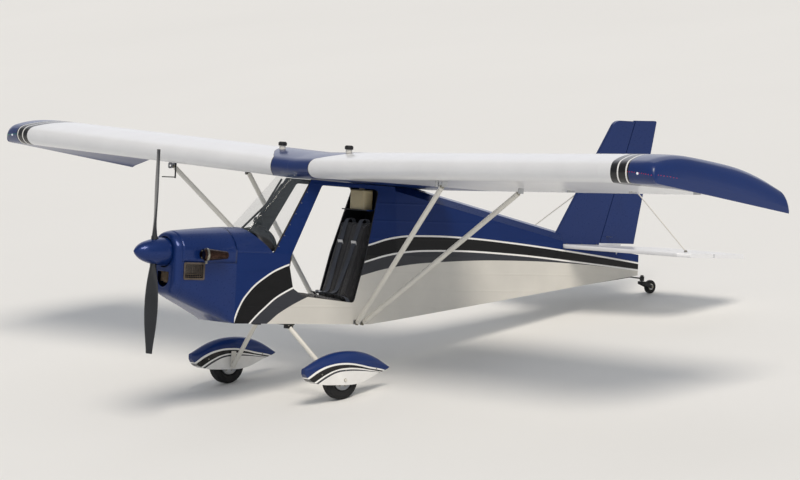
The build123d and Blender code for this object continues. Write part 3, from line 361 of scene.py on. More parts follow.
def wing_covering(put, striped):
    """Polyester cloth over ribs, sealed and sprayed white: smooth, satin, each rib's tape a faint ridge."""
    x, y, _ = rig_place(put)
    base = mottled(put, chosen("white"), 300, 0.05)
    if striped:
        out_along = put("Math.ABSOLUTE", y)
        blue = blue_flakes(put)
        inner = put("Math.SUBTRACT", edge(put, x, BLUE_EDGE, (-1.4, 0.1), (0.0, 1.0)), out_along)
        back = put("Math.MINIMUM", put("Math.MULTIPLY", x, -1.0), STRIPE_SWEEP_END)
        swept = put("Math.MULTIPLY_ADD", back, STRIPE_SWEEP, out_along)
        pin = chosen("pin_width") / 2
        layers = [(put("Math.GREATER_THAN", place, start), paint) for place, start, paint in (
            (inner, 0.0, chosen("black")), (inner, pin, blue), (swept, TIP_BLACK, chosen("black")),
            (swept, TIP_BLUE, blue))]
        layers += [(within(put, put("Math.SUBTRACT", swept, middle), pin), chosen("pin"))
                   for middle in TIP_PINS]
        base = layered(put, base, layers)
    half = chosen("tape_width") / 2
    tape = put("MapRange", put("Math.PINGPONG", y, chosen("rib_pitch") / 2), half - 0.004, half, 1.0,
               0.0, interpolation_type="SMOOTHSTEP")
    weave, _ = relief(put, 1.6, 0.02)
    bump = put("Bump", inputs={"Strength": 1.0, "Distance": 0.0006, "Height": tape, "Normal": weave})
    return {"Base Color": base, "Roughness": 0.32, "Specular IOR Level": 0.35, "Coat Weight": 0.3,
            "Coat Roughness": 0.1, "IOR": 1.5, "Normal": bump}


# Lines on a wheel pod: colour, then rigging x and z of its lower edge, from the underside up
POD_LAYERS = (
    ("grey", [(-0.45, -0.326), (-0.321, -0.313), (-0.14, -0.303), (-0.043, -0.305), (0.038, -0.316),
              (0.105, -0.342), (0.2, -0.399), (0.36, -0.52)]),
    ("pin", [(-0.45, -0.322), (-0.32, -0.309), (-0.139, -0.293), (-0.043, -0.294), (0.039, -0.303),
             (0.119, -0.333), (0.217, -0.394), (0.36, -0.5)]),
    ("black", [(-0.45, -0.317), (-0.404, -0.313), (-0.278, -0.297), (-0.138, -0.282), (-0.028, -0.283),
               (0.053, -0.296), (0.133, -0.327), (0.231, -0.388), (0.36, -0.48)]),
    ("pin", [(-0.45, -0.311), (-0.418, -0.305), (-0.277, -0.287), (-0.137, -0.264), (-0.027, -0.258),
             (0.082, -0.269), (0.176, -0.301), (0.273, -0.366), (0.36, -0.44)]),
    ("blue", [(-0.45, -0.303), (-0.418, -0.295), (-0.277, -0.275), (-0.136, -0.252), (-0.026, -0.245),
              (0.083, -0.256), (0.19, -0.29), (0.287, -0.359), (0.36, -0.425)]))
POD_SPAN = (-0.45, 0.36)
POD_REACH = (-0.55, -0.1)


def pod_lacquer(put):
    """Gelcoat shells sprayed in the scheme and cleared: hard and glossy, with road dust low down."""
    x, _, z = rig_place(put)
    layers = [(put("Math.GREATER_THAN", z, edge(put, x, points, POD_SPAN, POD_REACH)),
               blue_flakes(put) if paint == "blue" else chosen(paint)) for paint, points in POD_LAYERS]
    return {"Base Color": layered(put, mottled(put, chosen("pin"), 90, 0.1), layers), "Roughness": 0.3,
            "Specular IOR Level": 0.3, "Coat Weight": 0.4, "Coat Roughness": 0.06, "IOR": 1.5,
            "Normal": relief(put, 8, 0.02)[0]}


def clear_sheet(put):
    """Polycarbonate sheet bent cold: clear, faintly grey, with fine wiping marks."""
    return {"Base Color": mottled(put, srgb("#8d9aa3"), 300, 0.3), "Roughness": 0.03, "IOR": 1.58,
            "Alpha": 0.06, "Normal": relief(put, 250, 0.02)[0]}


def seat_cloth(put):
    """Woven charcoal seat cloth; its 1 mm threads are drawn 3 mm apart so that they show."""
    x, y, z = rig_place(put)
    warp = threads(put, put("Math.ADD", x, z), 0.003)
    weave = put("Math.MULTIPLY", warp, threads(put, y, 0.003))
    base = shaded(put, mottled(put, chosen("cloth"), 70, 0.25), weave, (-1.0, 1.0), (0.75, 1.15))
    bump = put("Bump", inputs={"Strength": 0.8, "Distance": 0.0006, "Height": weave})
    return {"Base Color": base, "Roughness": 0.9, "Sheen Weight": 0.35, "Sheen Roughness": 0.5,
            "Normal": bump}


def webbing(put):
    """Woven harness webbing: ribbed across every 3 mm, with a soft shine."""
    x, _, z = rig_place(put)
    ribs = threads(put, put("Math.ADD", x, z), 0.003)
    bump = put("Bump", inputs={"Strength": 0.7, "Distance": 0.0005, "Height": ribs})
    return {"Base Color": mottled(put, chosen("strap"), 40, 0.2), "Roughness": 0.7, "Sheen Weight": 0.3,
            "Normal": bump}


FILLER_CAP_Z = 1.3055


def filler_finish(put):
    """Enamelled filler neck under a moulded black cap: pale and glossy below, dark and dull above."""
    cap = put("Math.GREATER_THAN", rig_place(put)["Z"], FILLER_CAP_Z)
    return {"Base Color": layered(put, mottled(put, chosen("tube"), 60, 0.1), ((cap, srgb("#1b1b1d")),)),
            "Roughness": put("MapRange", cap, 0.0, 1.0, 0.3, 0.55), "Normal": relief(put, 2, 0.03)[0]}


def vent_gauze(put):
    """Woven steel gauze of the cowl vent, browned by heat and dust; its 1.5 mm wires are drawn 5 mm apart."""
    x, _, z = rig_place(put)
    weave = put("Math.MULTIPLY", threads(put, x, 0.01), threads(put, z, 0.01))
    base = shaded(put, mottled(put, srgb("#7d7166"), 25, 0.4), weave, (-1.0, 1.0), (0.35, 1.0))
    bump = put("Bump", inputs={"Strength": 0.8, "Distance": 0.0008, "Height": weave})
    return {"Base Color": base, "Metallic": 0.6, "Roughness": 0.5, "Normal": bump}


def lens(put, code, glow):
    """A small moulded lamp lens that glows a little."""
    return {"Base Color": mottled(put, srgb(code), 6, 0.2), "Roughness": 0.15, "IOR": 1.49,
            "Normal": relief(put, 3, 0.05)[0], "Emission Color": srgb(code), "Emission Strength": glow}


METAL = {"Metallic": 1.0}
SATIN = {"Coat Weight": 0.4}
# Each material: what lays it out, and for a plain one its colour, roughness, size and depth of its grain in
# mm, and size in mm and strength of its slow drift
MATERIALS = {
    "metallic_blue_sprayed_lacquer": (blue_lacquer,),
    "shrunk_polyester_fuselage_covering": (fuselage_covering,),
    "sprayed_wing_covering": (wing_covering, True),
    "sprayed_tail_covering": (wing_covering, False),
    "sprayed_glass_fibre_pod": (pod_lacquer,),
    "bent_polycarbonate_sheet": (clear_sheet,),
    "woven_seat_cloth": (seat_cloth,),
    "woven_harness_webbing": (webbing,),
    "enamelled_neck_and_moulded_cap": (filler_finish,),
    "woven_steel_gauze": (vent_gauze,),
    "moulded_lens_left": (lens, "#d02030", 0.4),
    "moulded_lens_right": (lens, "#1fa050", 0.4),
    "moulded_lens_clear": (lens, "#e8ebf2", 0.2),
    # Black rubber, dusty on the tread
    "moulded_tyre_rubber": (plain, "#131315", 0.78, 3, 0.15, 30, 0.3),
    # Sprayed on drawn aluminium tube: even, with a soft gloss and slight orange peel
    "cream_enamelled_tube": (plain, "tube", 0.32, 4, 0.01, DRIFT_MM, 0.07, SATIN),
    # The tailwheel's centre: greenish yellow, waxy and scuffed
    "cast_yellow_urethane": (plain, "#8f9147", 0.5, 2, 0.05, 12, 0.3),
    # Milled and lightly brushed: pale, with streaks along its length
    "brushed_aluminium": (plain, "#b9bbbe", 0.36, 4, 0.02, DRIFT_MM, 0.15, METAL, (1, 12, 12)),
    # Fasteners: bright with a slightly yellow bloom
    "zinc_plated_steel": (plain, "#a9a597", 0.3, 2, 0.02, 10, 0.3, METAL),
    # Steel under stoving paint: satin, rubbed grey where it is handled
    "black_stoved_steel": (plain, "#17181b", 0.42, 3, 0.03, 50, 0.3, {"Metallic": 0.3}),
    # Exhaust blued and browned by heat: dark and shiny in patches
    "heat_stained_steel": (plain, "#4d3a33", 0.28, 5, 0.05, 35, 0.55, METAL),
    # Engine alloy: grey and matt with an even grit
    "sand_cast_alloy": (plain, "#8e8c88", 0.6, 2.5, 0.25, DRIFT_MM, 0.3, {"Metallic": 0.8}),
    # Cast iron under baked oil: warm, matt and streaked
    "oil_baked_cylinder_iron": (plain, "#a8937a", 0.6, 2.5, 0.2, 20, 0.35, {"Metallic": 0.3}),
    # Fine spark texture, drawn 2 mm wide so that it shows
    "moulded_black_plastic": (plain, "#1b1b1d", 0.5, 2, 0.05, DRIFT_MM, 0.15),
    # Under satin lacquer: near black, with a long faint streak
    "carbon_composite_blade": (plain, "#202226", 0.34, 5, 0.02, DRIFT_MM, 0.3, SATIN, (1, 6, 1)),
    # Waxy, milky and slightly see-through
    "blow_moulded_polyethylene": (plain, "tank", 0.45, 12, 0.15, DRIFT_MM, 0.15,
                                  {"Subsurface Weight": 0.2, "Subsurface Radius": (0.02, 0.015, 0.01)}),
    # Dark and matt, with 2.5 mm crackle
    "crackle_lacquered_panel": (plain, "panel", 0.6, 2.5, 0.2, DRIFT_MM, 0.15),
    # Dead flat black behind the pointers
    "matt_dial_enamel": (plain, "#0c0c0d", 0.7, 1.5, 0.02, 20, 0.1),
    # Ink of scales and pointers: flat and opaque
    "screen_printed_white": (plain, "#e8e6dd", 0.6, 1.5, 0.01, 10, 0.08),
    # Dark and dull
    "extruded_edge_rubber": (plain, "#19191b", 0.7, 3, 0.05, DRIFT_MM, 0.2),
}


def surface(name):
    """The material of that name, made when it is first asked for."""
    made = bpy.data.materials.get(name)
    if made is None:
        lay, *details = MATERIALS[name]
        made = bpy.data.materials.new(name)
        put = emptied(made)
        put("OutputMaterial", put("BsdfPrincipled", inputs=lay(put, *details)))
    return made


# Shapes

SHARP_ANGLE = radians(35)
SEATING = 0.0005
QUAD = ((-1, -1), (1, -1), (1, 1), (-1, 1))


def spots(*places):
    """Rigging points in the scene."""
    return [at(*place) for place in places]


def quad(middle, across, up):
    """The corners of a four-sided plate from its middle and its half width and height."""
    return [middle + across * a + up * b for a, b in QUAD]


def turned(across, up, angle):
    """A direction between two that are square to each other."""
    return across * cos(angle) + up * sin(angle)


def spread(count, start=0.0):
    """Evenly spaced angles round a circle."""
    return [start + 2 * pi * k / count for k in range(count)]


def ring(shape, centre, across, up, radius, sides):
    """Points round a circle."""
    return [shape.verts.new(centre + turned(across, up, angle) * radius) for angle in spread(sides)]


def bridge(shape, rings, closed=True, ends=True):
    """Faces between rings of points, a ring of one point being a tip, and over both ends."""
    for low, high in zip(rings, rings[1:]):
        count = max(len(low), len(high))
        for k in range(count if closed else count - 1):
            n = (k + 1) % count
            corners = (low[k % len(low)], low[n % len(low)], high[n % len(high)], high[k % len(high)])
            corners = tuple(dict.fromkeys(corners))
            if len(corners) > 2:
                shape.faces.new(corners)
    for end in (rings[0][::-1], rings[-1]):
        if ends and len(end) > 1:
            shape.faces.new(end)


def lathe(shape, origin, axis, outline, sides=24):
    """A turned form: the outline gives the distance along the axis and the radius, closed at both ends."""
    axis = Vector(axis).normalized()
    across = axis.orthogonal().normalized()
    rings = []
    for reach, radius in outline:
        centre = Vector(origin) + axis * reach
        whole = radius > 0
        rings.append(ring(shape, centre, across, axis.cross(across), radius, sides) if whole
                     else [shape.verts.new(centre)])
    bridge(shape, rings)


def rod(shape, start, end, radius, sides=16, end_radius=None):
    """A round bar from one point to another."""
    run = end - start
    lathe(shape, start, run, ((0, radius), (run.length, radius if end_radius is None else end_radius)), sides)


def bolt(shape, origin, axis, width):
    """A hexagon head on its washer, seated on the origin."""
    axis = axis.normalized()
    lathe(shape, origin - axis * SEATING, axis, ((0, width * 0.95), (width * 0.2, width * 0.95)), 20)
    lathe(shape, origin + axis * width * 0.19, axis,
          ((0, width * 0.56), (width * 0.5, width * 0.56), (width * 0.6, width * 0.46), (width * 0.6, 0)), 6)


def screw(shape, origin, axis, radius):
    """A domed screw head seated on the origin."""
    lathe(shape, origin - axis.normalized() * SEATING, axis,
          ((0, radius), (radius * 0.25, radius * 0.95), (radius * 0.45, radius * 0.6), (radius * 0.5, 0)), 12)


def plate(shape, corners, thickness):
    """A flat plate: its corners lie in one plane, and it grows both ways from them."""
    normal = (corners[1] - corners[0]).cross(corners[2] - corners[1]).normalized()
    bridge(shape, [[shape.verts.new(c + normal * thickness / 2 * way) for c in corners] for way in (-1, 1)])


def headings(path):
    """Each point of a path with the way the path runs there."""
    return [(point, (path[min(k + 1, len(path) - 1)] - path[max(k - 1, 0)]).normalized())
            for k, point in enumerate(path)]


def hose(shape, path, radius, sides=12):
    """A bar bent along a path."""
    rings = []
    across = None
    for point, ahead in headings(path):
        across = ahead.orthogonal() if across is None else across - ahead * across.dot(ahead)
        across.normalize()
        rings.append(ring(shape, point, across, ahead.cross(across), radius, sides))
    bridge(shape, rings)


def strap(shape, path, across, width, thickness):
    """A flat strap along a path, its width along one direction."""
    across = across.normalized() * width / 2
    rings = []
    for point, ahead in headings(path):
        up = ahead.cross(across).normalized() * thickness / 2
        rings.append([shape.verts.new(c) for c in quad(point, across, up)])
    bridge(shape, rings)


CORNER_STEPS = 6
CORNER_REACH = 0.35


def rounded(points):
    """A path with its corners eased into arcs."""
    path = [points[0]]
    for before, corner, after in zip(points, points[1:], points[2:]):
        short = min((corner - before).length, (after - corner).length) * CORNER_REACH
        start = corner + (before - corner).normalized() * short
        end = corner + (after - corner).normalized() * short
        for k in range(CORNER_STEPS + 1):
            t = k / CORNER_STEPS
            path.append(start * (1 - t) ** 2 + corner * 2 * t * (1 - t) + end * t ** 2)
    return path + [points[-1]]


# The looks that most fittings have: material and slot
LACQUER = ("metallic_blue_sprayed_lacquer", "blue_paint")
PLATED = ("zinc_plated_steel", "bare_metal")
BRUSHED = ("brushed_aluminium", "bare_metal")
MOULDED = ("moulded_black_plastic", "black_composite")
EDGING = ("extruded_edge_rubber", "black_composite")


def piece(name, shape, look, body="airframe", bevel=0.0):
    """The finished shape, with its material, as a piece that rides on a body."""
    material, slot = look
    bmesh.ops.recalc_face_normals(shape, faces=shape.faces)
    mesh = bpy.data.meshes.new(name)
    shape.to_mesh(mesh)
    shape.free()
    mesh.materials.append(surface(material))
    mesh.shade_smooth()
    mesh.set_sharp_from_angle(angle=SHARP_ANGLE)
    made = bpy.data.objects.new(name, mesh)
    bpy.context.scene.collection.objects.link(made)
    if bevel:
        round_off = made.modifiers.new("edges", "BEVEL")
        round_off.width = bevel
        round_off.segments = 2
        round_off.limit_method = "ANGLE"
        round_off.harden_normals = True
    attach(made, body)
    return made


def settled(made):
    """Applies the modifiers of a piece to its mesh."""
    graph = bpy.context.evaluated_depsgraph_get()
    made.data = bpy.data.meshes.new_from_object(made.evaluated_get(graph))
    made.modifiers.clear()


def touch(name, start, direction):
    """Where a ray first meets a CAD node or a piece, and the way the surface faces there."""
    found = frame["nodes"].get(name) or bpy.data.objects[name]
    hit, place, normal, _ = found.ray_cast(start, direction)
    if not hit:
        raise RuntimeError(f"nothing of {name} lies that way")
    return place, normal


# Nose and tip shells

# Sections of the nose: station, half width, underside, crease, top and lower corner radius
COWL_TABLE = [
    (0.6005, 0.22, 0.0, 0.53, 0.694, 0.01), (0.66, 0.219, 0.02, 0.532, 0.6908, 0.06),
    (0.745, 0.216, 0.053, 0.535, 0.684, 0.09), (0.88, 0.1931, 0.106, 0.541, 0.6734, 0.11),
    (0.955, 0.1804, 0.136, 0.544, 0.6668, 0.112), (1.04, 0.164, 0.172, 0.547, 0.658, 0.11),
    (1.075, 0.152, 0.189, 0.547, 0.65, 0.105), (1.092, 0.139, 0.203, 0.548, 0.641, 0.096),
    (1.098, 0.129, 0.213, 0.548, 0.633, 0.088), (1.1, 0.117, 0.225, 0.548, 0.623, 0.078)]
SEAM_Z = 0.44
SEAM_GAP = 0.0007
BOWL_X = 1.052
NOSE_X = 1.1
COWL_WALL = 0.004
SPINNER_HOLE = 0.113
INLET_TOP = 0.366
INLET_DEPTH = 0.12
INLET_HALF = 0.074
INLET_STEPS = 24
LIP_RADIUS = 0.0045
# The side vent: rigging place, half length and half height
VENT_PLACE = (0.955, 0.18, 0.375)
VENT_HALF = (0.073, 0.051)

# Sections of a drooped tip: station, front and rear height of the underside, depth share, setback of the
# nose, depth at the tail, and the height share of the point where the top starts down
TIP_TABLE = [
    (3.371, 1.1917, 1.1357, 1.0, 0.0, 0.008, 0.763), (3.48, 1.1958, 1.1255, 1.015, -0.001, 0.036, 0.82),
    (3.6, 1.2, 1.115, 1.03, -0.004, 0.07, 0.88), (3.76, 1.204, 1.072, 1.06, -0.02, 0.13, 0.965),
    (3.82, 1.2055, 1.054, 0.97, -0.034, 0.122, 0.96), (3.848, 1.2062, 1.043, 0.82, -0.048, 0.1, 0.95),
    (3.861, 1.2067, 1.036, 0.6, -0.06, 0.072, 0.93), (3.867, 1.207, 1.0325, 0.34, -0.07, 0.04, 0.9)]
WING_CHORD = 1.372
CROWN_BACK = 0.306
SHOULDER_BACK = 0.583
CROWN_Z = 0.217
NOSE_R = 0.074
TIP_NARROWING = 0.02
TIP_RINGS = 34


def eased(table, place):
    """The columns of a table at a station, along smooth curves that never overshoot its rows."""
    k = max(0, min(len(table) - 2, sum(row[0] <= place for row in table) - 1))

    def rise(i, column):
        return (table[i + 1][column] - table[i][column]) / (table[i + 1][0] - table[i][0])

    def slope(i, column):
        if i == 0 or i == len(table) - 1:
            return rise(min(i, len(table) - 2), column)
        before, after = rise(i - 1, column), rise(i, column)
        return 0 if before * after <= 0 else 2 * before * after / (before + after)

    width = table[k + 1][0] - table[k][0]
    t = (place - table[k][0]) / width
    return [table[k][c] * (1 + 2 * t) * (1 - t) ** 2 + table[k + 1][c] * t ** 2 * (3 - 2 * t)
            + width * (slope(k, c) * t * (1 - t) ** 2 - slope(k + 1, c) * t ** 2 * (1 - t))
            for c in range(1, len(table[0]))]


def swung(arm, angle):
    """A flat vector turned by an angle."""
    return Vector((arm.x * cos(angle) - arm.y * sin(angle), arm.x * sin(angle) + arm.y * cos(angle)))


def arc(start, way, end, steps):
    """Points of the flat arc that leaves start the given way and reaches end, and its last direction."""
    chord = end - start
    turn = 2 * atan2(way.cross(chord), way.dot(chord))
    centre = start + Vector((-way.y, way.x)).normalized() * chord.length / (2 * sin(turn / 2))
    return [centre + swung(start - centre, turn * k / steps) for k in range(steps + 1)], swung(way, turn)


def even(start, end, steps):
    """Points along a straight line, its ends left out."""
    return [start.lerp(end, k / steps) for k in range(1, steps)]


def mirrored(points):
    """An outline that ends on the centre line, carried on to the other side."""
    return points + [Vector((-p.x, p.y)) for p in points[-2::-1]]


def cowl_line(x, part=None):
    """The outline of a nose section from its left side: the lower or upper half, or all round."""
    half, low, crease, top, corner = eased(COWL_TABLE, x)
    side = Vector((half, SEAM_Z + {"lower": -SEAM_GAP, "upper": SEAM_GAP, None: 0}[part]))
    left, _ = arc(Vector((half, low + corner)), Vector((0, -1)), Vector((half - corner, low)), 10)
    keel = Vector((0, low))
    lower = mirrored([side] + even(side, left[0], 6) + left + even(left[-1], keel, 4) + [keel])
    shoulder = Vector((half, crease))
    middle = Vector((0, top))
    bend = 2 * atan2(top - crease, half)
    roof, _ = arc(shoulder, Vector((-cos(bend), sin(bend))), middle, 16)
    upper = mirrored([side] + even(side, shoulder, 4) + roof)
    return {"lower": lower, "upper": upper, None: lower[:-1] + upper[:0:-1]}[part]


def tip_line(y):
    """A tip section in side view: round nose, crowned top bowed down to a rounded tail, flat underside."""
    front, rear, depth, setback, tail, shoulder_share = eased(TIP_TABLE, y)
    chord = WING_CHORD + setback - (y - TIP_TABLE[0][0]) * TIP_NARROWING
    nose = NOSE_R * depth
    crown = Vector((-CROWN_BACK * chord, CROWN_Z * depth))
    shoulder = Vector((-SHOULDER_BACK * chord, CROWN_Z * depth * shoulder_share))
    fore, way = arc(crown, Vector((1, 0)), Vector((-0.73 * nose, 2 * nose)), 14)
    bow, _ = arc(fore[-1], way, Vector((-0.93 * nose, 0)), 18)
    aft, down = arc(crown, Vector((-1, 0)), shoulder, 14)
    ease = 0.55 * tail
    back, _ = arc(shoulder, down, Vector((-chord + ease, tail)), 14)
    quarter = [pi / 2 * k / 8 for k in range(9)]
    heel = [Vector((-chord + ease - ease * sin(angle), tail * cos(angle))) for angle in quarter]
    points = fore[:-1] + bow + even(bow[-1], heel[-1], 16) + heel[::-1] + back[-2::-1] + aft[-2:0:-1]
    return [swung(p, atan2(front - rear, chord)) + Vector((setback, front)) for p in points]


def stations(start, end, count):
    """Evenly spaced stations."""
    return [start + (end - start) * k / (count - 1) for k in range(count)]


def skin(name, rings, look, node, closed=False, wall=0.0, cutter=None):
    """A skin over open or closed rings of points, given its wall and cut open, in place of a CAD node."""
    shape = bmesh.new()
    rows = [[shape.verts.new(point) for point in line] for line in rings]
    bridge(shape, rows, closed, ends=False)
    if closed:
        shape.faces.new(rows[-1])
        if not wall:
            shape.faces.new(rows[0])
    made = piece(name, shape, look)
    middle = sum((v.co for v in made.data.vertices), Vector()) / len(made.data.vertices)
    if sum((face.center - middle).dot(face.normal) * face.area for face in made.data.polygons) < 0:
        made.data.flip_normals()
    if wall:
        thick = made.modifiers.new("wall", "SOLIDIFY")
        thick.thickness = wall
        thick.offset = -1
        thick.use_even_offset = True
    if cutter is not None:
        tool = piece("cutter", cutter, (look[0], None))
        cut = made.modifiers.new("openings", "BOOLEAN")
        cut.object = tool
        cut.solver = "EXACT"
        settled(made)
        bpy.data.objects.remove(tool)
        made.data.set_sharp_from_angle(angle=SHARP_ANGLE)
    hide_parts(node)


class MICROLIGHT_OT_shells(bpy.types.Operator):
    """Make the smooth shells of the cowl, the nose bowl and the wing tips"""
    bl_idname = "microlight.shells"
    bl_label = "Nose and tip shells"

    def execute(self, context):
        vent = bmesh.new()
        plate(vent, quad(at(*VENT_PLACE), RIG_X * VENT_HALF[0], RIG_Z * VENT_HALF[1]), 0.12)
        for part, cutter in (("upper", None), ("lower", vent)):
            rings = [[at(x, p.x, p.y) for p in cowl_line(x, part)]
                     for x in stations(COWL_TABLE[0][0], BOWL_X - SEAM_GAP, 24)]
            skin(f"cowl_{part}_shell", rings, LACQUER, f"cowl_{part}", wall=COWL_WALL, cutter=cutter)
        level = INLET_TOP - INLET_DEPTH + INLET_HALF
        inlet = [(INLET_HALF, INLET_TOP)]
        for k in range(INLET_STEPS + 1):
            angle = pi * k / INLET_STEPS
            inlet.append((INLET_HALF * cos(angle), level - INLET_HALF * sin(angle)))
        inlet.append((-INLET_HALF, INLET_TOP))
        front = bmesh.new()
        lathe(front, at(NOSE_X - 0.03, 0, THRUST_Z), RIG_X, ((0, SPINNER_HOLE), (0.06, SPINNER_HOLE)), 72)
        plate(front, [at(NOSE_X, y, z) for y, z in inlet], 0.06)
        rings = [[at(x, p.x, p.y) for p in cowl_line(x)]
                 for x in stations(BOWL_X, 1.084, 6) + stations(1.087, NOSE_X, 8)]
        skin("nose_bowl_shell", rings, LACQUER, "nose_bowl", True, wall=COWL_WALL, cutter=front)
        lip = bmesh.new()
        middle = (0, INLET_TOP)
        path = [at(NOSE_X - 0.002, y, z) for y, z in [middle] + inlet + [middle]]
        hose(lip, rounded(path), LIP_RADIUS, 10)
        piece("inlet_lip", lip, LACQUER)
        look = ("sprayed_wing_covering", "blue_paint")
        for name, sign in SIDES:
            rings = []
            for k in range(TIP_RINGS):
                y = TIP_TABLE[0][0] + (TIP_TABLE[-1][0] - TIP_TABLE[0][0]) * sin(pi / 2 * k / (TIP_RINGS - 1))
                rings.append([at(p.x, sign * y, p.y) for p in tip_line(y)])
            skin(f"wing_tip_shell_{name}", rings, look, f"wing_tip_{name}", True)
        context.view_layer.update()
        return {"FINISHED"}


# Seat

PAD_CELL = 0.006
PAD_SWELL = 0.01
CHANNEL_REACH = 0.012
CHANNEL_DEPTH = 0.005
# Side outline of each pad: rigging x and z
SEAT_SIDE = [(-0.158, 0.02), (-0.158, 0.184), (-0.18, 0.214), (-0.464, 0.166), (-0.472, 0.02)]
BACK_SIDE = [(-0.488, 0.19), (-0.662, 0.75), (-0.7, 0.764), (-0.728, 0.744), (-0.556, 0.16),
             (-0.508, 0.16)]


def inflate(pad, cap):
    """Air pressure in cloth rounds the block as a filling does; no point moves further than the cap."""
    start = [v.co.copy() for v in pad.data.vertices]
    cloth = pad.modifiers.new("filling", "CLOTH")
    cloth.settings.use_pressure = True
    cloth.settings.uniform_pressure_force = 4
    cloth.settings.effector_weights.gravity = 0
    scene = bpy.context.scene
    for number in range(1, 21):
        scene.frame_set(number)
    graph = bpy.context.evaluated_depsgraph_get()
    swollen = [v.co.copy() for v in pad.evaluated_get(graph).data.vertices]
    pad.modifiers.remove(cloth)
    for vertex, before, after in zip(pad.data.vertices, start, swollen):
        move = after - before
        vertex.co = before + move * min(1, cap / max(move.length, 1e-9))
    scene.frame_set(1)


def stuffed(name, outline, half_width, node, channel_pitch):
    """A stuffed pad from its side outline, with sewn channels over its face."""
    shape = bmesh.new()
    plate(shape, [at(x, 0, z) for x, z in outline], 2 * half_width)
    made = piece(name, shape, ("woven_seat_cloth", "seat_fabric"))
    remesh = made.modifiers.new("cells", "REMESH")
    remesh.mode = "VOXEL"
    remesh.voxel_size = PAD_CELL
    settled(made)
    inflate(made, PAD_SWELL)
    # A sewn channel pulls the cover in along a line
    for vertex in made.data.vertices:
        line = (vertex.co - RIG_ORIGIN).dot(RIG_Y)
        off = abs((line / channel_pitch + 0.5) % 1 - 0.5) * channel_pitch
        if off < CHANNEL_REACH:
            vertex.co -= vertex.normal * CHANNEL_DEPTH * (1 - off / CHANNEL_REACH) ** 2
    made.data.shade_smooth()
    smooth = made.modifiers.new("finer", "SUBSURF")
    smooth.levels = smooth.render_levels = 1
    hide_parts(node)


class MICROLIGHT_OT_seat(bpy.types.Operator):
    """Make the stuffed seat cushion and back"""
    bl_idname = "microlight.seat"
    bl_label = "Seat"

    def execute(self, context):
        stuffed("seat_pad_lower", SEAT_SIDE, 0.17, "seat_cushion", 0.085)
        stuffed("seat_pad_back", BACK_SIDE, 0.165, "seat_back", 0.083)
        return {"FINISHED"}


WEBBING_DEPTH = 0.0022


class MICROLIGHT_OT_harness(bpy.types.Operator):
    """Make the shoulder and lap straps with their buckle and adjusters"""
    bl_idname = "microlight.harness"
    bl_label = "Harness"

    def execute(self, context):
        straps, buckles = bmesh.new(), bmesh.new()
        width = chosen("strap_width")
        for name, sign in SIDES:
            y = sign * 0.085
            shoulder = spots((-0.744, y, 0.7), (-0.715, y, 0.786), (-0.655, y, 0.778),
                             (-0.56, y * 0.9, 0.485), (-0.47, y * 0.6, 0.228), (-0.36, y * 0.35, 0.214))
            strap(straps, rounded(shoulder), RIG_Y, width, WEBBING_DEPTH)
            lap = spots((-0.5, sign * 0.19, 0.12), (-0.47, sign * 0.186, 0.2),
                        (-0.38, sign * 0.12, 0.222), (-0.345, sign * 0.02, 0.222))
            strap(straps, rounded(lap), along(1, 0, 0.3), width, WEBBING_DEPTH)
            slide = at(-0.598, y * 0.94, 0.604)
            plate(buckles, quad(slide, RIG_Y * 0.03, along(0.3, 0, 0.95) * 0.018), 0.006)
        lathe(buckles, at(-0.35, 0, 0.222), along(-0.16, 0, 1),
              ((0, 0.03), (0.012, 0.03), (0.018, 0.024), (0.018, 0)), 28)
        piece("harness_straps", straps, ("woven_harness_webbing", "seat_fabric"))
        piece("harness_buckles", buckles, BRUSHED, bevel=0.0015)
        return {"FINISHED"}


# Cockpit

PANEL_X = 0.33
# Round instruments: rigging y and z of the centre, radius of the case, and turn of the pointer
INSTRUMENTS = ((0.115, 0.585, 0.04, 0.9), (0.0, 0.6, 0.04, 2.2), (-0.115, 0.585, 0.04, 3.6),
               (0.072, 0.487, 0.029, 4.4), (-0.072, 0.487, 0.029, 5.3), (0.0, 0.48, 0.029, 0.2))
# Turned forms of a case and its bezel for a radius of one: depth in metres, share of the radius
CASE_OUTLINE = ((0, 1), (0.062, 1), (0.07, 0.9), (0.074, 0.3), (0.08, 0.3), (0.08, 0))
BEZEL_OUTLINE = ((0, 1.16), (0.004, 1.14), (0.007, 1.04), (0.007, 0.92), (0.003, 0.9), (0.003, 0))
# The hood over the panel: rigging x, half width, height of its foot and of its crown
HOOD_LINE = ((0.372, 0.196, 0.54, 0.69), (0.33, 0.198, 0.53, 0.698), (0.26, 0.196, 0.53, 0.704),
             (0.215, 0.19, 0.545, 0.694))
HOOD_STEPS = 24
SCALE_MARKS = 20
DIAL_DEPTH = 0.0004


def disc(shape, origin, axis, radius, sides):
    """A dial: a thin round plate."""
    lathe(shape, origin, axis, ((0, radius), (DIAL_DEPTH, radius), (DIAL_DEPTH, 0)), sides)


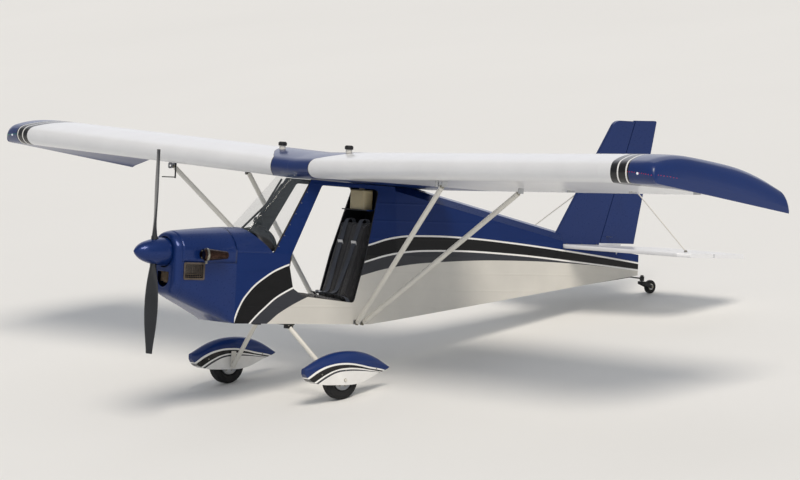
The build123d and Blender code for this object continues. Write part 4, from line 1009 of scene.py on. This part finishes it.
class MICROLIGHT_OT_instruments(bpy.types.Operator):
    """Make the instruments, switches and knobs of the panel"""
    bl_idname = "microlight.instruments"
    bl_label = "Instruments"

    def execute(self, context):
        cases, dials, marks, bezels, hood = [bmesh.new() for _ in range(5)]
        back = -RIG_X
        for y, z, radius, pointer in INSTRUMENTS:
            face = at(PANEL_X, y, z)
            for shape, start, way, outline in ((cases, face + RIG_X * 0.006, RIG_X, CASE_OUTLINE),
                                               (bezels, face, back, BEZEL_OUTLINE)):
                lathe(shape, start, way, [(reach, radius * share) for reach, share in outline], 32)
            disc(dials, face + back * 0.0032, back, radius * 0.89, 32)
            ink = face + back * 0.004
            for k, angle in enumerate(spread(SCALE_MARKS)):
                way = turned(RIG_Y, RIG_Z, angle) * radius
                rod(marks, ink + way * (0.66 if k % 5 == 0 else 0.74), ink + way * 0.85, 0.0007, 6)
            way = turned(RIG_Y, RIG_Z, pointer) * radius
            ink = face + back * 0.005
            rod(marks, ink - way * 0.15, ink + way * 0.7, 0.0012, 6, 0.0005)
            for angle in spread(4, pi / 4):
                screw(bezels, face + turned(RIG_Y, RIG_Z, angle) * radius * 1.28, back, 0.0028)
        for k in range(5):
            spot = at(PANEL_X, -0.17 + 0.028 * k, 0.428)
            lathe(bezels, spot, back, ((0, 0.006), (0.004, 0.006), (0.005, 0.004), (0.005, 0)), 16)
            rod(bezels, spot, spot + back * 0.02 + RIG_Z * (0.006 if k % 2 else -0.006), 0.0022, 10)
        for y, reach in ((0.11, 0.045), (0.16, 0.035)):
            spot = at(PANEL_X, y, 0.432)
            rod(bezels, spot, spot + back * reach, 0.004, 12)
            lathe(cases, spot + back * reach, back,
                  ((0, 0.01), (0.008, 0.014), (0.016, 0.012), (0.018, 0)), 20)
        rows = []
        for x, half, foot, top in HOOD_LINE:
            bow = [pi * k / HOOD_STEPS for k in range(HOOD_STEPS + 1)]
            rows.append([hood.verts.new(at(x, half * cos(a), foot + (top - foot) * sin(a))) for a in bow])
        bridge(hood, rows, closed=False, ends=False)
        shade = piece("dash_hood", hood, MOULDED)
        shade.modifiers.new("wall", "SOLIDIFY").thickness = 0.004
        compass = at(0.262, 0, 0.7)
        lathe(cases, compass, RIG_Z,
              ((0, 0.026), (0.008, 0.024), (0.014, 0.017), (0.02, 0.017), (0.02, 0)), 28)
        lathe(cases, compass + RIG_Z * 0.046 + RIG_X * 0.026, back,
              ((0, 0.018), (0.01, 0.029), (0.036, 0.031), (0.052, 0.031), (0.052, 0.026), (0.048, 0.026),
               (0.048, 0)), 32)
        disc(dials, compass + RIG_Z * 0.046 - RIG_X * 0.0225, back, 0.0258, 28)
        piece("instrument_cases", cases, MOULDED)
        piece("instrument_bezels", bezels, ("black_stoved_steel", "dark_metal"))
        piece("instrument_dials", dials, ("matt_dial_enamel", "black_composite"))
        piece("instrument_marks", marks, ("screen_printed_white", "black_composite"))
        return {"FINISHED"}


class MICROLIGHT_OT_controls(bpy.types.Operator):
    """Make the stick grip, the rudder pedals and the throttle"""
    bl_idname = "microlight.controls"
    bl_label = "Controls"

    def execute(self, context):
        grip, metal, pads = bmesh.new(), bmesh.new(), bmesh.new()
        lathe(grip, at(-0.0395, 0, 0.412), along(-0.018, 0, 0.12),
              ((0, 0.016), (0.006, 0.0205), (0.03, 0.0185), (0.055, 0.0205), (0.08, 0.019),
               (0.112, 0.0215), (0.13, 0.019), (0.136, 0.01), (0.136, 0)))
        lathe(grip, at(-0.06, 0, 0.548), along(-0.5, 0, 1),
              ((0, 0.007), (0.006, 0.007), (0.008, 0.005), (0.008, 0)), 16)
        lathe(grip, at(-0.062, 0, 0.014), RIG_Z,
              ((0, 0.045), (0.012, 0.04), (0.028, 0.024), (0.05, 0.018), (0.055, 0.0125), (0.055, 0)), 28)
        rod(metal, at(0.455, -0.165, 0.045), at(0.455, 0.165, 0.045), 0.008)
        for name, sign in SIDES:
            y = sign * 0.095
            hose(metal, rounded(spots((0.455, y - 0.045, 0.045), (0.475, y - 0.045, 0.19),
                                      (0.475, y + 0.045, 0.19), (0.455, y + 0.045, 0.045))), 0.007)
            plate(pads, quad(at(0.469, y, 0.175), RIG_Y * 0.046, RIG_X * 0.003 + RIG_Z * 0.025), 0.022)
            y = sign * 0.172
            lug = spots((0.44, y, 0.013), (0.47, y, 0.013), (0.466, y, 0.06), (0.444, y, 0.06))
            plate(metal, lug, 0.005)
        plate(metal, quad(at(0.18, 0.203, 0.37), RIG_X * 0.05, RIG_Z * 0.015), 0.008)
        rod(metal, at(0.18, 0.197, 0.37), at(0.15, 0.185, 0.45), 0.005)
        lathe(grip, at(0.15, 0.185, 0.448), along(-0.3, -0.1, 0.9),
              ((0, 0.008), (0.006, 0.015), (0.02, 0.016), (0.028, 0.01), (0.03, 0)))
        piece("stick_grip_and_knobs", grip, MOULDED)
        piece("rudder_pedal_frames", metal, BRUSHED)
        piece("rudder_pedal_pads", pads, EDGING, bevel=0.003)
        return {"FINISHED"}


# Nose

# Rigging x and z of the fasteners of each cowl
BUTTONS = {
    "upper": [(0.64 + 0.12 * k, 0.462) for k in range(4)] + [(0.616, 0.56), (0.616, 0.64), (1.038, 0.52),
                                                             (1.038, 0.6)],
    "lower": [(0.64 + 0.12 * k, 0.418) for k in range(4)] + [(0.616, 0.1 + 0.085 * k) for k in range(4)]
             + [(1.038, 0.28)]}
# Places on the left cowl side taken by the vent and by the exhaust: x, half length, z, half height
COWL_BUSY = ((0.955, 0.1, 0.375, 0.075), (0.88, 0.055, 0.5, 0.055))
COWL_LEAN = atan2(0.216 - 0.164, 1.052 - 0.745)
EXHAUST_FLANGE = (0.88, 0.1935, 0.5)


class MICROLIGHT_OT_nose(bpy.types.Operator):
    """Make the cowl fasteners, the cooling fins behind the inlet, and the exhaust fixings"""
    bl_idname = "microlight.nose"
    bl_label = "Nose fittings"

    def execute(self, context):
        buttons, cylinder, exhaust = bmesh.new(), bmesh.new(), bmesh.new()
        for name, sign in SIDES:
            for part, places in BUTTONS.items():
                for x, z in places:
                    if sign > 0 and any(abs(x - a) < b and abs(z - c) < d for a, b, c, d in COWL_BUSY):
                        continue
                    spot, facing = touch(f"cowl_{part}_shell", at(x, sign * 0.6, z), RIG_Y * -sign)
                    lathe(buttons, spot - facing * SEATING, facing,
                          ((0, 0.0065), (0.0012, 0.006), (0.0018, 0.0045), (0.001, 0.004), (0.001, 0)), 16)
        # Finned cylinder that shows through the inlet
        outline = [(0, 0.03)]
        for k in range(8):
            reach = 0.006 + 0.01 * k
            outline += [(reach, 0.03), (reach, 0.05), (reach + 0.003, 0.05), (reach + 0.003, 0.03)]
        lathe(cylinder, at(1.03, -0.04, 0.372), -RIG_Z, outline + [(0.092, 0.03), (0.096, 0)], 32)
        rod(cylinder, at(1.04, 0.045, 0.372), at(1.03, 0.045, 0.29), 0.016)
        # Flange bolts, and the clamp round the front of the stack
        out, back = along(sin(COWL_LEAN), cos(COWL_LEAN), 0), along(-cos(COWL_LEAN), sin(COWL_LEAN), 0)
        across = out.cross(RIG_Z).normalized()
        flange = at(*EXHAUST_FLANGE)
        for angle in spread(4, pi / 4):
            bolt(exhaust, flange + turned(across, RIG_Z, angle) * 0.0335 + out * 0.0122, out, 0.008)
        front = flange - back * 0.036 + out * 0.0624
        lathe(exhaust, front + back * 0.012, back,
              ((0, 0.0445), (0.002, 0.049), (0.016, 0.0485), (0.018, 0.044)), 36)
        ear = front + back * 0.021 - RIG_Z * 0.052
        plate(exhaust, quad(ear - RIG_Z * 0.003, back * 0.008, RIG_Z * -0.011), 0.01)
        bolt(exhaust, ear + out * 0.005 - RIG_Z * 0.006, out, 0.008)
        piece("cowl_buttons", buttons, LACQUER)
        piece("engine_cylinder_fins", cylinder, ("oil_baked_cylinder_iron", "engine_metal"))
        piece("exhaust_bolts", exhaust, PLATED)
        return {"FINISHED"}


# Windscreen edges


class MICROLIGHT_OT_trim(bpy.types.Operator):
    """Make the rubber edging and screws of the windscreen"""
    bl_idname = "microlight.trim"
    bl_label = "Windscreen trim"

    def execute(self, context):
        edging, screws = bmesh.new(), bmesh.new()
        for name, sign in SIDES:
            low, high = at(0.262, sign * 0.2205, 0.535), at(-0.072, sign * 0.1615, 1.022)
            hose(edging, [low, high], 0.006, 10)
            for k in range(6):
                spot = low.lerp(high, (k + 0.5) / 6) + along(-0.8, 0, -0.3) * 0.018
                hit, facing = touch(f"upper_frame_{name}", spot + RIG_Y * sign * 0.2, RIG_Y * -sign)
                screw(screws, hit, facing, 0.004)
        piece("screen_edging", edging, EDGING)
        piece("screen_screws", screws, PLATED)
        return {"FINISHED"}


# Wing

# Each strut: rigging x of its top and of its foot
STRUTS = ((-0.143, -0.54), (-0.869, -0.6))
# Outline of the fork at a strut's end: along the strut and fore or aft
FORK_SIDE = ((-0.01, -0.016), (-0.01, 0.016), (0.034, 0.012), (0.034, -0.012))
HINGE_PLACES = (1.9, 2.55, 3.2)
# Outline of a hinge arm from the hinge's foot: rearwards and down
HINGE_ARM = ((0, -0.001), (0.028, -0.001), (0.034, 0.005), (0.07, 0.005), (0.07, 0.015), (0, 0.016))
# The row of lamps on a tip: share of the row, then span station, rigging x and height
TIP_LIGHT_LINE = [(0.0, 3.655, 0.02, 1.272), (0.45, 3.8, -0.03, 1.263), (0.65, 3.845, -0.1, 1.258),
                  (1.0, 3.852, -0.27, 1.246)]
FILLER_PLACE = (-0.248, 0.4)


def wing_under(x, y):
    """A point on the wing's flat underside."""
    return at(x, y, 1.074 + (1.018 - 1.074) * (-x / WING_CHORD) + abs(y) * 0.03492)


class MICROLIGHT_OT_wing(bpy.types.Operator):
    """Make the strut ends, aileron hinges, filler necks and tip lights"""
    bl_idname = "microlight.wing"
    bl_label = "Wing fittings"

    def execute(self, context):
        forks, bolts, hinges, necks = [bmesh.new() for _ in range(4)]
        for name, sign in SIDES:
            for top_x, foot_x in STRUTS:
                top = wing_under(top_x, sign * 1.605) - RIG_Z * 0.042
                foot = at(foot_x, sign * 0.246, 0.018)
                run = (top - foot).normalized()
                out = run.cross(RIG_X).normalized()
                for end, way in ((top, run), (foot, -run)):
                    rod(forks, end - way * 0.03, end + way * 0.012, 0.0195, 20, 0.012)
                    plate(forks, [end + way * reach + RIG_X * half for reach, half in FORK_SIDE], 0.008)
                    bolt(bolts, end + way * 0.02 + out * 0.005, out, chosen("bolt"))
            for y in HINGE_PLACES:
                foot = wing_under(-1.08, sign * y)
                plate(hinges, [foot - RIG_X * back - RIG_Z * down for back, down in HINGE_ARM], 0.005)
                bolt(bolts, foot - RIG_X * 0.02 - RIG_Z * 0.0005, -RIG_Z, 0.007)
        piece("strut_end_forks", forks, PLATED, bevel=0.001)
        piece("strut_end_bolts", bolts, PLATED)
        piece("aileron_hinge_arms", hinges, BRUSHED, bevel=0.001)
        for name, sign in SIDES:
            lights, strobe = bmesh.new(), bmesh.new()
            tip = bpy.data.objects[f"wing_tip_shell_{name}"]
            count = chosen("lights")
            for k in range(count):
                y, back, height = eased(TIP_LIGHT_LINE, k / (count - 1))
                _, spot, facing, _ = tip.closest_point_on_mesh(at(back, sign * y, height))
                lathe(lights, spot - facing * 0.001, facing,
                      ((0, 0.0028), (0.0015, 0.0026), (0.0025, 0.0015), (0.0028, 0)), 10)
            piece(f"tip_lights_{name}", lights, (f"moulded_lens_{name}", "clear_sheet"))
            _, spot, facing, _ = tip.closest_point_on_mesh(at(0.0, sign * 3.74, 1.262))
            lathe(strobe, spot - facing * 0.003, facing,
                  ((0, 0.009), (0.006, 0.0085), (0.01, 0.005), (0.0115, 0)), 20)
            piece(f"tip_strobe_{name}", strobe, ("moulded_lens_clear", "clear_sheet"))
            x, y = FILLER_PLACE[0], sign * FILLER_PLACE[1]
            lathe(necks, at(x, y, 1.33), RIG_Z, ((0, 0.027), (0.004, 0.026), (0.006, 0.022), (0.006, 0)), 28)
            for angle in spread(12):
                grip = at(x, y, 1.308) + turned(RIG_X, RIG_Y, angle) * 0.0295
                rod(necks, grip, grip + RIG_Z * 0.021, 0.0028, 8)
        piece("filler_cap_grips", necks, MOULDED)
        return {"FINISHED"}


# Gear

RIM_OUTLINE = ((0, 0.077), (0.005, 0.077), (0.008, 0.074), (0.006, 0.069), (0.0015, 0.062),
               (0.0015, 0.034), (0.0075, 0.029), (0.0075, 0.0112), (0, 0.0112))
TREAD_OUTLINE = ((0, 0.1432), (0.001, 0.1449), (0.0074, 0.1449), (0.0084, 0.1432))
TREAD_PLACES = (-0.02, -0.0065, 0.0065, 0.02)
TAIL_RING_OUTLINE = ((0, 0.024), (0.0015, 0.024), (0.0015, 0.014), (0.004, 0.011), (0.004, 0.0056),
                     (0, 0.0056))
POD_SCREWS = ((-0.037, -0.3), (0.175, -0.33), (-0.35, -0.29))


class MICROLIGHT_OT_gear(bpy.types.Operator):
    """Make the wheel rims, tread grooves, pod fixings and tailwheel details"""
    bl_idname = "microlight.gear"
    bl_label = "Gear fittings"

    def execute(self, context):
        fixings, joints, nuts, tail_ring = [bmesh.new() for _ in range(4)]
        for name, sign in SIDES:
            x, y, z = MAIN_WHEEL[0], sign * MAIN_WHEEL[1], MAIN_WHEEL[2]
            rims, tread, studs = bmesh.new(), bmesh.new(), bmesh.new()
            centre = at(x, y, z)
            for out in (RIG_Y, -RIG_Y):
                lathe(rims, centre + out * 0.0335, out, RIM_OUTLINE, 48)
                for angle in spread(6):
                    bolt(studs, centre + out * 0.0352 + turned(RIG_X, RIG_Z, angle) * 0.048, out, 0.008)
                for pod_x, pod_z in POD_SCREWS:
                    spot, facing = touch(f"wheel_pod_{name}", at(pod_x, y, pod_z) + out * 0.2, -out)
                    screw(fixings, spot, facing, 0.0055)
            for offset in TREAD_PLACES:
                lathe(tread, centre + RIG_Y * (offset - 0.0042), RIG_Y, TREAD_OUTLINE, 72)
            body = f"wheel_{name}"
            piece(f"wheel_rim_{name}", rims, BRUSHED, body)
            piece(f"wheel_studs_{name}", studs, PLATED, body)
            piece(f"tyre_tread_{name}", tread, ("moulded_tyre_rubber", "tyre_rubber"), body)
            out = RIG_Y * sign
            lathe(fixings, centre + out * 0.0655, out, ((0, 0.013), (0.002, 0.013), (0.002, 0)), 20)
            for reach in (-0.02, 0.02):
                bolt(joints, at(0.076 + reach, sign * 0.222, -0.0085), -RIG_Z, 0.009)
            tail = at(*TAIL_WHEEL)
            bolt(nuts, tail + out * 0.0302, out, 0.01)
            lathe(tail_ring, tail + out * 0.0146, out, TAIL_RING_OUTLINE, 32)
        piece("pod_screws", fixings, PLATED)
        piece("gear_bracket_bolts", joints, PLATED)
        piece("tail_axle_nuts", nuts, PLATED, "tail_fork")
        piece("tail_wheel_rings", tail_ring, BRUSHED, "tailwheel")
        return {"FINISHED"}


# Tail

TAIL_PINS = (0.35, 0.75, 1.15)
TAIL_PIN_HALF = 0.022


class MICROLIGHT_OT_tail(bpy.types.Operator):
    """Make the brace fittings, control horns and hinge pins of the tail"""
    bl_idname = "microlight.tail"
    bl_label = "Tail fittings"

    def execute(self, context):
        fixed, pins, rudder, lifted = [bmesh.new() for _ in range(4)]
        for name, sign in SIDES:
            lathe(fixed, at(-3.19, sign * 0.98, 0.6325), RIG_Z,
                  ((0, 0.016), (0.004, 0.016), (0.004, 0.01), (0.012, 0.01), (0.014, 0.007),
                   (0.014, 0)), 20)
            top = at(-3.3, sign * 0.0165, 1.26)
            bolt(fixed, top, RIG_Y * sign, chosen("bolt"))
            plate(fixed, [top + RIG_Y * sign * 0.002 + RIG_X * a + RIG_Z * b for a, b in
                          ((-0.014, 0.02), (0.014, 0.02), (0.01, -0.03), (-0.01, -0.03))], 0.003)
            for y in TAIL_PINS:
                pin = at(-3.228, sign * y, 0.632)
                half = RIG_Y * sign * TAIL_PIN_HALF
                rod(pins, pin - half, pin + half, 0.003, 10)
            for k in range(3):
                bolt(fixed, at(-2.79 - 0.16 * k, sign * 0.045, 0.6328), RIG_Z, 0.009)
            plate(rudder, spots((-3.235, sign * 0.012, 0.7), (-3.265, sign * 0.012, 0.7),
                                (-3.252, sign * 0.075, 0.7)), 0.004)
        plate(lifted, spots((-3.27, 0.09, 0.603), (-3.31, 0.09, 0.603), (-3.285, 0.09, 0.56)), 0.004)
        piece("tail_fixings", fixed, PLATED)
        piece("tail_hinge_pins", pins, ("sprayed_tail_covering", "white_covering"))
        piece("rudder_horns", rudder, BRUSHED, "rudder")
        piece("elevator_horn", lifted, BRUSHED, "elevator")
        return {"FINISHED"}


# Paint on the CAD nodes; a star stands for left and for right

NODE_FINISHES = {
    "metallic_blue_sprayed_lacquer": "nose_bowl cowl_upper cowl_lower coaming turtle_deck fin rudder spinner",
    "shrunk_polyester_fuselage_covering": "side_panel_* upper_frame_* floor_panel rear_bulkhead aft_fuselage",
    "sprayed_wing_covering": "wing_* wing_centre wing_tip_* aileron_*",
    "sprayed_tail_covering": "stabiliser elevator",
    "sprayed_glass_fibre_pod": "wheel_pod_*",
    "cream_enamelled_tube": "strut_front_* strut_rear_* gear_leg_* tail_brace_*",
    "enamelled_neck_and_moulded_cap": "fuel_filler_*",
    "brushed_aluminium": "strut_lugs_* hub_* firewall",
    "woven_steel_gauze": "cowl_vent",
    "cast_yellow_urethane": "tail_hub",
    "black_stoved_steel": "tail_fork tail_spring cabin_brace airspeed_probe gear_bracket",
    "moulded_black_plastic": "control_stick",
    "heat_stained_steel": "exhaust_stub",
    "sand_cast_alloy": "engine_block",
    "carbon_composite_blade": "propeller",
    "moulded_tyre_rubber": "tyre_* tail_tyre",
    "crackle_lacquered_panel": "instrument_panel",
    "blow_moulded_polyethylene": "header_tank",
    "bent_polycarbonate_sheet": "windscreen",
}


class MICROLIGHT_OT_paint(bpy.types.Operator):
    """Give every CAD node its finish"""
    bl_idname = "microlight.paint"
    bl_label = "Paint and finishes"

    def execute(self, context):
        for material, nodes in NODE_FINISHES.items():
            for node in nodes.split():
                for name in {node.replace("*", side) for side, _ in SIDES}:
                    mesh = frame["nodes"][name].data
                    mesh.materials.clear()
                    mesh.materials.append(surface(material))
        return {"FINISHED"}


# Floor, lamps and camera

# Each lamp: place, width of its disc in degrees, setting for its strength, share of that, and tint
LAMPS = {"key": ((5, 9, 13), 25, "key", 1.0, "#fff6ea"),
         "near_fill": ((9, 14, 5), 60, "fill", 0.6, "#eef3ff"),
         "far_fill": ((-8, -12, 9), 60, "fill", 1.0, "#f4f6ff")}
LAMP_TARGET = (-0.8, 0, 0.6)
BACKDROP_STRENGTH = 0.85
# The photograph's camera in the rigging frame: metres, radians, and focal length in picture widths
CAMERA_PLACE = (16.953, 21.732, 1.508)
CAMERA_YAW = -2.26435
CAMERA_PITCH = -0.03103
CAMERA_ROLL = 0.0508
CAMERA_FOCAL = 4.63695
SENSOR_MM = 36


class MICROLIGHT_OT_stage(bpy.types.Operator):
    """Set the pale floor, the soft lamps and the camera"""
    bl_idname = "microlight.stage"
    bl_label = "Stage"

    def execute(self, context):
        scene = context.scene
        ground = bmesh.new()
        bmesh.ops.create_grid(ground, x_segments=1, y_segments=1, size=150)
        mesh = bpy.data.meshes.new("studio_floor")
        ground.to_mesh(mesh)
        ground.free()
        floor = bpy.data.objects.new("studio_floor", mesh)
        scene.collection.objects.link(floor)
        made = bpy.data.materials.new("matt_studio_floor")
        put = emptied(made)
        put("OutputMaterial", put("BsdfDiffuse", inputs={
            "Color": mottled(put, chosen("floor"), 5000, 0.02), "Normal": relief(put, 40, 0.05)[0]}))
        mesh.materials.append(made)

        scene.world = bpy.data.worlds.new("studio")
        put = emptied(scene.world)
        path = put("LightPath").outputs
        seen = put("Math.MAXIMUM", path["Is Camera Ray"], path["Is Transmission Ray"])
        strength = put("MapRange", seen, 0.0, 1.0, chosen("sky"), BACKDROP_STRENGTH)
        put("OutputWorld", put("Background", srgb("#f2f5fa"), strength))

        for name, (place, softness, setting, share, tint) in LAMPS.items():
            lamp = bpy.data.lights.new(name, "SUN")
            lamp.angle = radians(softness)
            lamp.energy = chosen(setting) * share
            lamp.color = srgb(tint)
            holder = bpy.data.objects.new(name, lamp)
            holder.location = at(*place)
            holder.rotation_euler = (at(*LAMP_TARGET) - holder.location).to_track_quat("-Z", "Y").to_euler()
            scene.collection.objects.link(holder)

        flat = cos(CAMERA_PITCH)
        look = Vector((flat * cos(CAMERA_YAW), flat * sin(CAMERA_YAW), sin(CAMERA_PITCH)))
        level = look.cross(Vector((0, 0, 1))).normalized()
        upright = level.cross(look)
        right = level * cos(CAMERA_ROLL) + upright * sin(CAMERA_ROLL)
        up = upright * cos(CAMERA_ROLL) - level * sin(CAMERA_ROLL)
        eye = bpy.data.cameras.new("photo_view")
        eye.sensor_width = SENSOR_MM
        eye.lens = CAMERA_FOCAL * SENSOR_MM
        eye.clip_end = 400
        camera = bpy.data.objects.new("photo_view", eye)
        axes = [along(*way) for way in (right, up, -look)]
        camera.matrix_world = Matrix.Translation(at(*CAMERA_PLACE)) @ Matrix(axes).transposed().to_4x4()
        scene.collection.objects.link(camera)
        scene.camera = camera
        scene.view_settings.view_transform = "Standard"
        return {"FINISHED"}


OPERATORS = (MICROLIGHT_OT_paint, MICROLIGHT_OT_shells, MICROLIGHT_OT_seat, MICROLIGHT_OT_harness,
             MICROLIGHT_OT_instruments, MICROLIGHT_OT_controls, MICROLIGHT_OT_nose, MICROLIGHT_OT_trim,
             MICROLIGHT_OT_wing, MICROLIGHT_OT_gear, MICROLIGHT_OT_tail, MICROLIGHT_OT_stage)


class MICROLIGHT_PT_sidebar(bpy.types.Panel):
    """Colours, sizes and steps of the microlight"""
    bl_idname = "MICROLIGHT_PT_sidebar"
    bl_label = "Microlight"
    bl_space_type = "VIEW_3D"
    bl_region_type = "UI"
    bl_category = "Microlight"

    def draw(self, context):
        for group, kind in GROUPS.items():
            box = self.layout.box()
            for name in kind.__annotations__:
                box.prop(getattr(context.scene, group), name)
        for operator in OPERATORS:
            self.layout.operator(operator.bl_idname)


CLASSES = (*GROUPS.values(), *OPERATORS, MICROLIGHT_PT_sidebar)


def register():
    for item in CLASSES:
        bpy.utils.register_class(item)
    for name, kind in GROUPS.items():
        setattr(bpy.types.Scene, name, PointerProperty(type=kind))


def unregister():
    for name in GROUPS:
        delattr(bpy.types.Scene, name)
    for item in reversed(CLASSES):
        bpy.utils.unregister_class(item)


def main():
    register()
    for operator in OPERATORS:
        group, name = operator.bl_idname.split(".")
        getattr(getattr(bpy.ops, group), name)()


if __name__ == "__main__":
    main()
